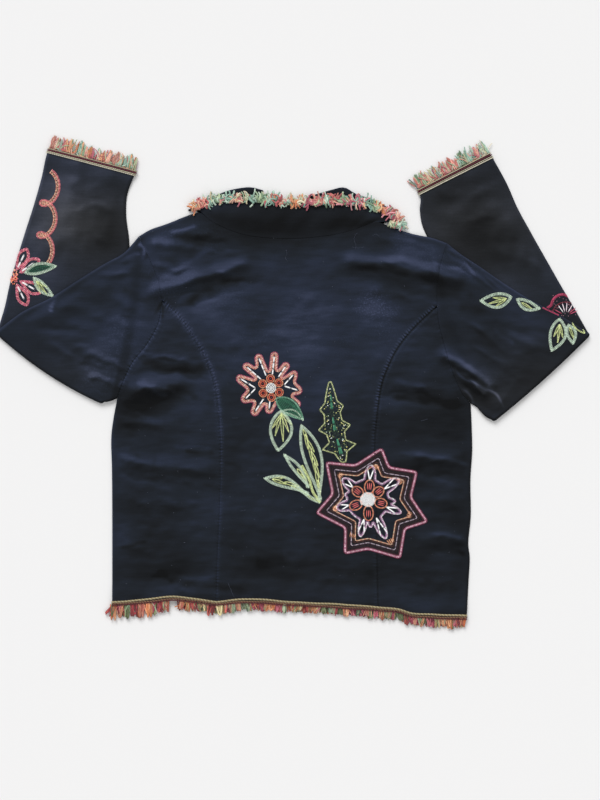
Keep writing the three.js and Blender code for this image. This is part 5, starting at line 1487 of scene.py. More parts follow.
a = np.linspace(0, 2 * math.pi, 720, endpoint=False)
r = arm_edge(a)
arms = resample(px(*centre) + MM_PER_PX * np.c_[r * np.cos(a), r * np.sin(a)], 1.1, True)
for _ in range(5):
    arms = (np.roll(arms, 1, axis=0) + 2 * arms + np.roll(arms, -1, axis=0)) / 4
thick(star, arms, [(0.0, 2.0, colour(234, 208, 224), colour(206, 160, 190), 3), (1.7, 1.5, colour(150, 104, 146))])
for turn, length, wide in ARMS:
    if wide < 10:
        continue
    q = px(centre[0] + 19.5 * math.cos(math.radians(turn)), centre[1] - 19.5 * math.sin(math.radians(turn)))
    for off in (-5.5, 5.5):
        tip = px(centre[0] + (length - 4.5) * math.cos(math.radians(turn + off)), centre[1] - (length - 4.5) * math.sin(math.radians(turn + off)))
        side_ = 0.45 * np.array([-(tip - q)[1], (tip - q)[0]]) / np.hypot(*(tip - q))
        star.satin([q + side_, q - side_], [tip + side_, tip - side_], WHITE, 1.2, 0.5)
for i in range(6):
    a_ = math.radians((84, 38, -14, -88, -157, 141)[i])
    c = px(centre[0] + 13.2 * math.cos(a_), centre[1] - 13.2 * math.sin(a_))
    u = np.array([math.cos(a_), math.sin(a_)])
    v = np.array([-u[1], u[0]])
    th = np.linspace(0, 2 * math.pi, 36, endpoint=False)
    long_ = (7.0, 6.0, 6.4, 7.6, 6.6, 6.2)[i]
    ring_ = c + MM_PER_PX * (np.outer(long_ * np.cos(th), u) + np.outer(4.9 * np.sin(th), v))
    thick(star, ring_, [(0.2, 1.7, colour(228, 150, 110), colour(214, 112, 72), 3)])
    for off in (-2.0, 0, 2.0):
        star.satin(c - 3.0 * MM_PER_PX * u + off * MM_PER_PX * v * 0.8, c + 4.2 * MM_PER_PX * u + off * MM_PER_PX * v, colour(208, 88, 84), 1.4)
spiral = np.array([(r * math.cos(a), r * math.sin(a)) for a, r in zip(np.linspace(0, 9.2 * math.pi, 300), np.linspace(0.3, 7.4, 300))])
star.chain(px(*centre) + MM_PER_PX * spiral, colour(240, 246, 244), 2.9, 2.0)
star.make("stitch_star_flower")

# left forearm: a looped ribbon, a half flower at the edge and two leaves
fore = Stitches("fore_left")
u_ = np.linspace(0, 1, 320)
rb = np.array([px(44 + 7 * u + 7.5 * math.sin(5 * math.pi * u), 259 - 80 * u + 7.5 * math.cos(5 * math.pi * u)) for u in u_])
fore.chain(inset(rb, 1, -0.3), colour(84, 44, 42), 1.2, 1.7, second=colour(214, 178, 152), every=2)
for off, col_, other in ((2.9, colour(206, 110, 120), colour(186, 80, 98)), (1.3, colour(230, 158, 136), colour(206, 118, 104)), (-1.9, colour(234, 172, 140), colour(210, 124, 100))):
    fore.chain(inset(rb, 1, off), col_, 1.9, 1.9, second=other, every=3)
# the half flower: four rounded petals, each with white spokes, round an orange middle cut off by the sleeve's edge
for turn in (64, 34, -30, -64):
    c_, s_ = math.cos(math.radians(turn)), math.sin(math.radians(turn))
    left_, right_, _ = leaf_edges((13 + 9 * c_, 277 - 9 * s_), (13 + 31 * c_, 277 - 31 * s_), 10, 0, belly=0.6)
    lp = resample(np.vstack([left_, right_[::-1][1:-1]]), 1.4, True)
    thick(fore, lp, [(-1.2, 2.2, colour(206, 92, 124), colour(226, 140, 150), 3), (0.9, 2.1, colour(222, 120, 130), colour(192, 80, 100), 4)])
for p_, q_ in [((13 + 10 * math.cos(a), 277 - 10 * math.sin(a)), (13 + 25 * math.cos(a), 277 - 25 * math.sin(a))) for a in np.radians((64, 34, -30, -64))]:
    p_, q_ = px(*p_), px(*q_)
    side_ = 0.6 * np.array([-(q_ - p_)[1], (q_ - p_)[0]]) / np.hypot(*(q_ - p_))
    fore.satin([p_ + side_, p_ - side_], [q_ + side_, q_ - side_], colour(236, 232, 238), 1.3, 0.5)
spots = np.random.RandomState(6).uniform(-1, 1, (90, 2))
spots = spots[np.hypot(*spots.T) < 1] * np.array([4.2, 7.5]) + np.array([13.5, 276.5])
for k, q_ in enumerate(spots):
    fore.knots(px(*q_), (colour(228, 126, 74), colour(214, 92, 70), colour(236, 160, 120), colour(206, 96, 110))[k % 4], 1.15)
# two plain leaves, the lower one going on below the upper arm
for base_, tip_, wide_, bend_, veins_, fill_ in (((33, 277), (54, 297), 10, -1.5, [(0.2, 22, 12, 2.2), (0.2, 0, 16, 2.2), (0.2, -22, 12, 2.2)], None),
                                                 ((24, 273), (57, 266), 12, 1.5, [], colour(40, 104, 76))):
    left_, right_, _ = leaf_edges(base_, tip_, wide_, bend_)
    fore.under(np.vstack([left_, right_[::-1][1:-1]]))
    leaf(fore, base_, tip_, wide_, bend_, veins_, fill=fill_)
fore.make("stitch_forearm_left")

# right sleeve: leaves on the upper arm, a half flower on the forearm by the fold
upper = Stitches("upper_right")
VEINS = [(0.2, 20, 13, 2.2), (0.2, 0, 18, 2.2), (0.2, -20, 13, 2.2)]
leaf(upper, (512, 297), (479, 301), 16, 2, VEINS)
leaf(upper, (516, 299), (541, 309), 11, -2, [(0.25, 0, 11, 2.2)])
upper.chain(np.linspace(px(543, 308), px(558, 315), 14), colour(178, 44, 88), 2.2, 2.0)
leaf(upper, (560, 318), (551, 352), 18, 2, VEINS)
leaf(upper, (568, 324), (573, 345), 11, 1, [(0.2, 0, 11, 2.2)])
leaf(upper, (572, 323), (585, 334), 7, 1, [], edge=LIME, rows=1)
upper.make("stitch_upper_arm_right")
fore = Stitches("fore_right")
def arch(a, r):
    return px(566 + r * math.cos(a), 316 - r * math.sin(a))


rim = np.array([arch(a, 18 + 4 * abs(math.sin(2.5 * a))) for a in np.linspace(math.radians(170), math.radians(20), 70)])
for off, col_ in ((0.9, colour(160, 34, 78)), (-0.9, colour(192, 52, 98))):
    fore.chain(inset(rim, 1, off), col_, 1.9, 2.1)
inner_ = np.array([arch(a, 14) for a in np.linspace(math.radians(165), math.radians(25), 40)])
fore.chain(inner_, colour(120, 28, 48), 1.6, 2.1)
for k, a in enumerate(np.radians((150, 125, 105, 85, 60, 40, 25))):
    fore.satin(arch(a, 13), arch(a, 4), colour(232, 214, 222) if 0 < k < 5 else colour(172, 54, 88), 1.5, 0.5)
dots = np.random.RandomState(8).uniform((553, 294), (584, 316), (60, 2))
fore.knots(np.array([px(*q) for q in dots]), colour(178, 120, 136), 0.6)
fore.make("stitch_forearm_right")

# ---------------------------------------------------------------- corded braid
def cord(yarns, line, z, colours, radius=1.0, pitch=5.0, step=1.3, side_lift=None):
    """A two-ply cord along a plan line with heights."""
    s = np.r_[0, np.cumsum(np.hypot(*np.diff(line, axis=0).T))]
    n = max(int(s[-1] / step), 8)
    q = np.linspace(0, s[-1], n)
    p = np.c_[np.interp(q, s, line[:, 0]), np.interp(q, s, line[:, 1])]
    zz = np.interp(q, s, z)
    d = np.gradient(p, axis=0)
    d /= np.maximum(np.hypot(*d.T), 1e-9)[:, None]
    nrm = np.c_[-d[:, 1], d[:, 0]]
    for k, col in enumerate(colours):
        a = 2 * math.pi * q / pitch + 2 * math.pi * k / len(colours)
        off = radius * 0.48
        path = np.c_[p + (off * np.cos(a))[:, None] * nrm, zz + off * np.sin(a)]
        yarns.add(path[None], radius * 0.60, [col], sides=5, fleck=0.2)


def hem_cords(yarns, x0, x1, rises, z_of, palette, radii):
    x = np.linspace(x0, x1, 300)
    for rise, cols, radius in zip(rises, palette, radii):
        wob = 0.35 * np.sin(x / 21.0 + rise) + 0.2 * np.sin(x / 7.3)
        line = np.c_[x, hem_y(x) + rise + wob]
        cord(yarns, line, z_of(line), cols, radius, pitch=3.3 * radius, step=0.9)


braid = Yarns()
X0, X1 = LINE["hemLeft"][0][0], LINE["hemRight"][-1][0]


def on_back(line):
    return upper_faces(line)[1] + 0.85


hem_cords(braid, X0 - 0.3, X1 + 0.3, (-0.7, 1.4, 4.3), on_back,
          ((colour(112, 42, 50), colour(78, 38, 38)), (colour(140, 110, 82), colour(100, 64, 52)), (colour(188, 178, 140), colour(142, 124, 92))), (0.9, 1.2, 1.5))
braid.make("braid_hem_back", "braid_yarn", "braid_hem_back")
for name, x0, x1 in (("left", X0 + ROLL + GAP + 0.5, -3.5 - GAP / 2), ("right", -3.5 + GAP / 2, X1 - ROLL - GAP - 0.5)):
    b_ = Yarns()
    hem_cords(b_, x0 + 0.8, x1 - 0.8, (1.0, 3.2, 5.4), lambda line: np.full(len(line), 0.92), ((ROSE * 0.75, KHAKI * 0.7), (KHAKI, SAGE * 0.8), (KHAKI, KHAKI * 0.6)), (0.84, 0.84, 0.84))
    b_.make("braid_hem_front_" + name, "braid_yarn", "braid_hem_front_" + name)

# round the cuffs
for name, sl in sleeves.items():
    b_ = Yarns()
    rows_ = np.array(sl.spec["forearm"][-2:], float)
    for t_, cols in ((0.10, (colour(222, 218, 200), colour(196, 188, 164))), (0.36, (colour(208, 200, 176), colour(158, 146, 118))),
                     (0.66, (colour(124, 40, 62), colour(86, 30, 44))), (0.95, (colour(196, 158, 130), colour(170, 176, 150)))):
        row = rows_[0] + t_ * (rows_[1] - rows_[0])
        outer, _ = sl.ring(row, sl.cuff_rise, sl.forearm_spare, True)
        d = row[2:4] - row[:2]
        d /= np.hypot(*d)
        n = len(outer)
        half = n // 2
        path = outer.copy()
        k = np.arange(n)
        col_ = np.where(k < half, k, n - 1 - k)
        w, us_ = sl.columns(row)
        D = np.minimum(us_, 1 - us_) * w
        out_ = 1 - smooth(0, 3.5, D[col_])
        sign_ = np.where(us_[col_] < 0.5, -1, 1)
        path[:, :2] += (1.1 * out_ * sign_)[:, None] * d
        path[:, 2] += np.where(k < half, -1.1, 1.1) * (1 - 0.7 * out_)
        loop = np.vstack([path, path[:1]])
        s = np.r_[0, np.cumsum(np.linalg.norm(np.diff(loop, axis=0), axis=1))]
        q = np.linspace(0, s[-1], int(s[-1] / 0.9))
        p = np.stack([np.interp(q, s, loop[:, i]) for i in range(3)], axis=1)
        tn = np.gradient(p, axis=0)
        tn /= np.linalg.norm(tn, axis=1)[:, None]
        across = np.cross(tn, np.array([-d[1], d[0], 0]) * 1.0)
        across /= np.maximum(np.linalg.norm(across, axis=1), 1e-9)[:, None]
        along_ = np.array([-d[1], d[0], 0])
        for kk, c_ in enumerate(cols):
            a = 2 * math.pi * q / 3.1 + math.pi * kk
            path2 = p + 0.42 * (np.cos(a)[:, None] * along_ + np.sin(a)[:, None] * across)
            b_.add(path2[None], 0.52, [c_], sides=5, fleck=0.2)
    b_.make("braid_cuff_" + name, "braid_yarn", "braid_cuff_" + name)

# ---------------------------------------------------------------- fringe
# runs of like yarns along the trim: hem and cuffs, then the paler collar
GROUPS = [
    (colour(206, 136, 116), colour(222, 160, 132), colour(190, 106, 92)), (colour(176, 80, 96), colour(200, 112, 124), colour(148, 58, 74)),
    (colour(210, 132, 88), colour(190, 104, 66), colour(222, 160, 120)), (colour(112, 122, 84), colour(140, 150, 108), colour(86, 92, 62)),
    (colour(150, 168, 136), colour(176, 190, 158), colour(118, 140, 112)), (colour(196, 170, 122), colour(170, 136, 92), colour(214, 196, 150)),
    (colour(160, 66, 72), colour(126, 50, 52), colour(196, 96, 88)), (colour(214, 150, 112), colour(176, 96, 78), colour(206, 184, 148)),
]
COLLAR_GROUPS = [
    (colour(222, 160, 144), colour(206, 128, 120), colour(232, 186, 164)), (colour(200, 116, 128), colour(214, 146, 152), colour(178, 92, 108)),
    (colour(168, 198, 180), colour(140, 178, 160), colour(196, 214, 196)), (colour(226, 216, 190), colour(212, 200, 166), colour(198, 206, 170)),
    (colour(224, 152, 108), colour(206, 124, 84), colour(232, 180, 140)), (colour(150, 172, 140), colour(122, 148, 118), colour(184, 200, 164)),
    (colour(190, 96, 100), colour(214, 132, 120), colour(222, 170, 150)),
]


def group_colours(s, rng_, low=6.0, high=13.0, stray=0.16, groups=None):
    """A colour for each strand at a place s along the trim: runs of one group, with strays."""
    groups = GROUPS if groups is None else groups
    order = np.argsort(s)
    out = np.zeros((len(s), 3))
    edge_, g = -1e9, 0
    for i in order:
        if s[i] > edge_:
            new = rng_.randint(len(groups))
            g = new if new != g else (new + 3) % len(groups)
            edge_ = s[i] + rng_.uniform(low, high)
        use = rng_.randint(len(groups)) if rng_.uniform() < stray else g
        out[i] = groups[use][rng_.randint(3)]
    return out


def strands(root, z0, angle, length, z1, arch, curl, K=7):
    """Curved strands: they leave a root in a direction that turns by curl along the way."""
    t = np.linspace(0, 1, K)
    head = angle[:, None] + curl[:, None] * (t[None] - 0.15)
    step = length[:, None] / (K - 1)
    x = root[:, :1] + np.c_[np.zeros(len(root)), np.cumsum(np.cos(head[:, :-1]) * step, axis=1)]
    y = root[:, 1:2] + np.c_[np.zeros(len(root)), np.cumsum(np.sin(head[:, :-1]) * step, axis=1)]
    z = z0[:, None] + (z1 - z0)[:, None] * t + arch[:, None] * np.sin(math.pi * t) ** 0.9
    return np.stack([x, y, z], axis=2)


def loops(root, z0, drop_, width, lean, z1, along_, out, K=11):
    """Loops of yarn that hang out from an edge and come back to it."""
    t = np.linspace(0, 1, K)
    fall = np.sin(math.pi * t) ** 0.8
    p = (root[:, None] + (drop_[:, None] * fall)[..., None] * out[:, None]
         + (width[:, None] * (t - 0.5) + lean[:, None] * fall)[..., None] * along_[:, None])
    z = z0[:, None] + (z1 - z0)[:, None] * fall
    return np.concatenate([p, z[..., None]], axis=2)


def reach_at(x):
    return np.interp(x, [r[0] for r in FRINGE_REACH], [r[1] for r in FRINGE_REACH])


# hem of the back
f = Yarns()
r_ = np.random.RandomState(41)
x, edges_, tuft, tuft_lean, tuft_len = [], X0 + 0.5, [], [], []
while edges_ < X1 - 1:
    w_ = r_.uniform(5, 11)
    n_ = int(w_ / 1.15)
    xs_ = edges_ + np.sort(r_.uniform(0.3, w_ - 0.3, n_))
    x += list(xs_)
    tuft += [len(tuft_lean)] * n_
    tuft_lean.append(r_.uniform(-1.8, 1.8))
    tuft_len.append(r_.uniform(0.78, 1.08))
    edges_ += w_ + (r_.uniform(0.4, 2.2))
x, tuft = np.array(x), np.array(tuft)
keep = ~((x > (168.5 - 292) * MM_PER_PX) & (x < (178 - 292) * MM_PER_PX)) & (x < X1 - 1)
x, tuft = x[keep], tuft[keep]
n_ = len(x)
centre_x_ = np.array([x[tuft == k].mean() if (tuft == k).any() else 0 for k in range(len(tuft_lean))])
group_of = r_.randint(len(GROUPS), size=len(tuft_lean))
for k in range(1, len(group_of)):
    if group_of[k] == group_of[k - 1]:
        group_of[k] = (group_of[k] + 3) % len(GROUPS)
cols = np.array([GROUPS[group_of[k] if r_.uniform() > 0.14 else r_.randint(len(GROUPS))][r_.randint(3)] for k in tuft]) * r_.uniform(0.62, 1.08, (n_, 1))
root = np.c_[x, hem_y(x) + 0.4]
top_at = upper_faces(root)[1]
drop_ = reach_at(x) * np.array(tuft_len)[tuft] * r_.uniform(0.78, 1.14, n_) * np.where(x < (168 - 292) * MM_PER_PX, 1.14, 1.0)
lean = np.array(tuft_lean)[tuft] + (x - centre_x_[tuft]) * r_.uniform(-0.1, 0.25, n_) + r_.uniform(-0.9, 0.9, n_)
along_, out = np.tile([1.0, 0.0], (n_, 1)), np.tile([0.0, -1.0], (n_, 1))
wide_ = np.where(r_.uniform(0, 1, n_) < 0.10, r_.uniform(5.5, 9.0, n_), r_.uniform(1.6, 3.4, n_))
paths = loops(root, top_at - r_.uniform(0.2, 2.2, n_), drop_, wide_, lean, r_.uniform(2.9, 4.4, n_), along_, out)
f.add(paths, r_.uniform(0.75, 1.15, n_)[:, None] * np.ones((1, 11)), cols, sides=5, ply=0.26, twist=1.25, fleck=0.42)
# loose ends between the loops
m = 150
xl = r_.uniform(X0 + 1, X1 - 2, m)
xl = xl[~((xl > (166 - 292) * MM_PER_PX) & (xl < (180 - 292) * MM_PER_PX))]
m = len(xl)
rl = np.c_[xl, hem_y(xl)]
paths = strands(rl, upper_faces(rl)[1] - 0.6, -math.pi / 2 + r_.uniform(-0.7, 0.7, m), reach_at(xl) * r_.uniform(0.6, 1.12, m),
                r_.uniform(2.8, 4.2, m), r_.uniform(0, 0.6, m), r_.uniform(-0.9, 0.9, m))
f.add(paths, 0.75, group_colours(xl, r_), sides=5, ply=0.25)
# the tuft that sticks out at the left corner
m = 16
xl = X0 + r_.uniform(0.8, 4.0, m)
rl = np.c_[xl, hem_y(xl) + r_.uniform(-2.0, 1.0, m)]
paths = strands(rl, np.full(m, 3.2), -math.pi * 0.66 + r_.uniform(-0.32, 0.32, m), r_.uniform(10, 17, m), r_.uniform(2.4, 3.8, m), r_.uniform(0, 0.6, m), r_.uniform(-0.9, 0.9, m))
f.add(paths, 0.9, group_colours(xl, r_), sides=5, ply=0.25)
f.make("fringe_hem_back", "fringe_yarn", "fringe_hem_back")

# hems of the fronts, below it
for name, x0, x1 in (("left", X0 + ROLL + GAP + 0.5, -3.5 - GAP / 2), ("right", -3.5 + GAP / 2, X1 - ROLL - GAP - 0.5)):
    f = Yarns()
    n_ = int((x1 - x0) / 1.15)
    x = np.sort(r_.uniform(x0 + 1.6, x1 - 1.6, n_))
    x = x[~((x > (168 - 292) * MM_PER_PX) & (x < (178.5 - 292) * MM_PER_PX))]
    n_ = len(x)
    root = np.c_[x, hem_y(x) - 0.4]
    paths = loops(root, np.full(n_, 0.95), reach_at(x) * r_.uniform(0.62, 0.97, n_), r_.uniform(1.6, 3.0, n_), r_.uniform(-1.4, 1.4, n_),
                  r_.uniform(0.75, 1.5, n_), np.tile([1.0, 0.0], (n_, 1)), np.tile([0.0, -1.0], (n_, 1)), K=9)
    f.add(paths, 0.6, group_colours(x, r_) * 0.9, sides=5, ply=0.2)
    f.make("fringe_hem_front_" + name, "fringe_yarn", "fringe_hem_front_" + name)

# cuffs
for name, sl in sleeves.items():
    f = Yarns()
    r0 = np.array(sl.spec["forearm"][-1], float)
    e = np.array(sl.spec["fringeEnd"], float)
    d = r0[2:4] - r0[:2]
    l = np.hypot(*d)
    d /= l
    out1 = np.array([e[0] - r0[0], e[1] - r0[1]])
    reach = np.hypot(*out1)
    out1 /= reach
    reach *= 1.32 if name == "right" else 1.05
    base_a = math.atan2(out1[1], out1[0])
    at_, tuft_, lean_, long_ = [], [], [], []
    edge_at_ = 1.2
    while edge_at_ < l - 2:
        w_ = r_.uniform(5, 9)
        k_ = int(w_ / 1.15)
        at_ += list(edge_at_ + r_.uniform(0.2, w_ - 0.2, k_))
        tuft_ += [len(lean_)] * k_
        lean_.append(r_.uniform(-2.4, 2.4))
        long_.append(r_.uniform(0.80, 1.12))
        edge_at_ += w_ + r_.uniform(0.8, 3.0)
    at_, tuft_ = np.array(at_), np.array(tuft_)
    keep = at_ < l - 1.5
    at_, tuft_ = at_[keep], tuft_[keep]
    n_ = len(at_)
    pick_ = r_.randint(len(COLLAR_GROUPS), size=len(lean_))
    cols = np.array([COLLAR_GROUPS[pick_[k] if r_.uniform() > 0.25 else r_.randint(len(COLLAR_GROUPS))][r_.randint(3)] for k in tuft_])
    root = r0[:2] + np.outer(at_, d) + np.outer(r_.uniform(-0.8, 1.5, n_), out1)
    z0 = r_.uniform(2.4, 5.8, n_)
    paths = loops(root, z0, reach * np.array(long_)[tuft_] * r_.uniform(0.62, 1.02, n_), r_.uniform(1.5, 3.6, n_),
                  np.array(lean_)[tuft_] + r_.normal(0, 1.1, n_), r_.uniform(0.9, 3.2, n_), np.tile(d, (n_, 1)), np.tile(out1, (n_, 1)))
    f.add(paths, r_.uniform(0.75, 1.15, n_)[:, None] * np.ones((1, 11)), cols * r_.uniform(0.78, 1.06, (n_, 1)), sides=5, ply=0.22, fleck=0.25)
    # cut ends and curls between the tufts, some falling back over the braid
    n_ = 84
    s = r_.uniform(0.02, 0.98, n_)
    back_ = r_.uniform(0, 1, n_) < 0.22
    root = r0[:2] + np.outer(s * l, d) + np.outer(r_.uniform(0.5, 3.0, n_), out1)
    turn_ = np.where(back_, r_.choice([-1, 1], n_) * r_.uniform(1.2, 2.2, n_), r_.normal(0, 0.45, n_))
    paths = strands(root, np.where(back_, 6.0, 4.0) + r_.uniform(-0.6, 0.6, n_), base_a + turn_, np.where(back_, r_.uniform(4, 8, n_), reach * r_.uniform(0.5, 1.05, n_)),
                    np.where(back_, r_.uniform(4.8, 6.8, n_), r_.uniform(1.0, 4.6, n_)), r_.uniform(0.1, 1.2, n_), r_.normal(0, 0.9, n_))
    f.add(paths, r_.uniform(0.5, 0.85, n_)[:, None] * np.ones((1, 7)), group_colours(s * l, r_, 5, 11, 0.3, COLLAR_GROUPS), sides=5, ply=0.22)
    if name == "right":                        # one thick end that sticks out at the cuff's near corner
        rl = np.array([px(418, 189), px(417.5, 188)])
        paths = strands(rl, np.full(2, 4.0), math.pi * np.array([0.70, 0.74]), np.array([19.0, 15.0]), np.array([3.6, 3.0]), np.array([0.4, 0.3]), np.array([0.5, 0.8]))
        f.add(paths, 1.0, np.array([colour(104, 120, 110), colour(150, 160, 136)]), sides=5, ply=0.22)
    f.make("fringe_cuff_" + name, "fringe_yarn", "fringe_cuff_" + name)

# collar
f = Yarns()
edge_line = LINES["collarBack"]
n_ = 560
s = r_.uniform(0.0, 1.0, n_)
p = edge_line.along(s)
q = edge_line.along(np.clip(s + 0.004, 0, 1)) - edge_line.along(np.clip(s - 0.004, 0, 1))
q /= np.hypot(*q.T)[:, None]
out = np.c_[-q[:, 1], q[:, 0]]
inwards = r_.uniform(0, 1, n_) < 0.30
root = p + out * np.where(inwards, r_.uniform(-3, 3, n_), r_.uniform(-7, 1, n_))[:, None]
ang = np.arctan2(out[:, 1], out[:, 0]) + np.where(inwards, math.pi, 0) + r_.normal(0, 0.75, n_)
length = np.where(inwards, r_.uniform(6, 12.5, n_), r_.uniform(7, 14, n_))
z0 = r_.uniform(4.9, 7.6, n_)
paths = strands(root, z0, ang, length, np.clip(z0 + r_.uniform(-2.2, 1.4, n_), 4.4, 9), r_.uniform(0.3, 2.0, n_), r_.normal(0, 1.5, n_))
f.add(paths, r_.uniform(0.85, 1.4, n_)[:, None] * np.ones((1, 7)), group_colours(s * edge_line.length, r_, 7, 15, 0.24, COLLAR_GROUPS), sides=6, ply=0.2, fleck=0.25)
n_ = 46
t_ = r_.uniform(0.0, 0.75, n_)
root = np.array([159.5, 227.5]) + t_[:, None] * np.array([-26, 7.5]) + r_.uniform(-1, 1, (n_, 2))
paths = strands(root, r_.uniform(5.2, 7.0, n_), -0.5 * math.pi + r_.normal(0.15, 0.55, n_), r_.uniform(5, 9.5, n_), r_.uniform(4.6, 6.4, n_), r_.uniform(0.3, 1.4, n_), r_.normal(0, 1.3, n_))
f.add(paths, r_.uniform(0.85, 1.3, n_)[:, None] * np.ones((1, 7)), group_colours(t_ * 27, r_, 6, 12, 0.3, COLLAR_GROUPS), sides=5, ply=0.2, fleck=0.25)
f.make("fringe_collar", "fringe_yarn", "fringe_collar")

# ---------------------------------------------------------------- lint and loose threads on the velvet
lint = Yarns()
for pts_ in ([(286, 250), (287, 254), (285, 258), (288, 261)], [(357, 233), (354, 238), (356, 246), (355, 250)], [(372, 236), (376, 234), (380, 237)],
             [(352, 247), (358, 248), (364, 247)], [(228, 583), (231, 590), (234, 597)], [(421, 421), (428, 419)], [(232, 418), (238, 418)],
             [(240, 511), (246, 510)]):
    c = Line([px(*q) for q in pts_]).along(np.linspace(0, 1, 9)) if len(pts_) > 2 else np.linspace(px(*pts_[0]), px(*pts_[1]), 5)
    z, n, ok = surface("body", c)
    if ok.all():
        lint.add(np.c_[c, z + 0.18][None], 0.11, [colour(70, 78, 98)], sides=4)
specks = r_.uniform([-245, -300], [245, 225], (120, 2))
z, n, ok = surface("body", specks)
a = r_.uniform(0, math.pi, 120)
ends = specks + np.c_[np.cos(a), np.sin(a)] * r_.uniform(0.5, 1.8, (120, 1))
for k in np.where(ok)[0]:
    lint.add(np.c_[np.linspace(specks[k], ends[k], 3), np.full(3, z[k] + 0.12)][None], 0.12, [colour(104, 110, 128)], sides=4)
lint.make("lint", "velvet")


# ---------------------------------------------------------------- materials
def material(name):
    m_ = bpy.data.materials.new(name)
    m_.use_nodes = True
    nt = m_.node_tree
    return m_, nt, nt.nodes, nt.nodes["Principled BSDF"]


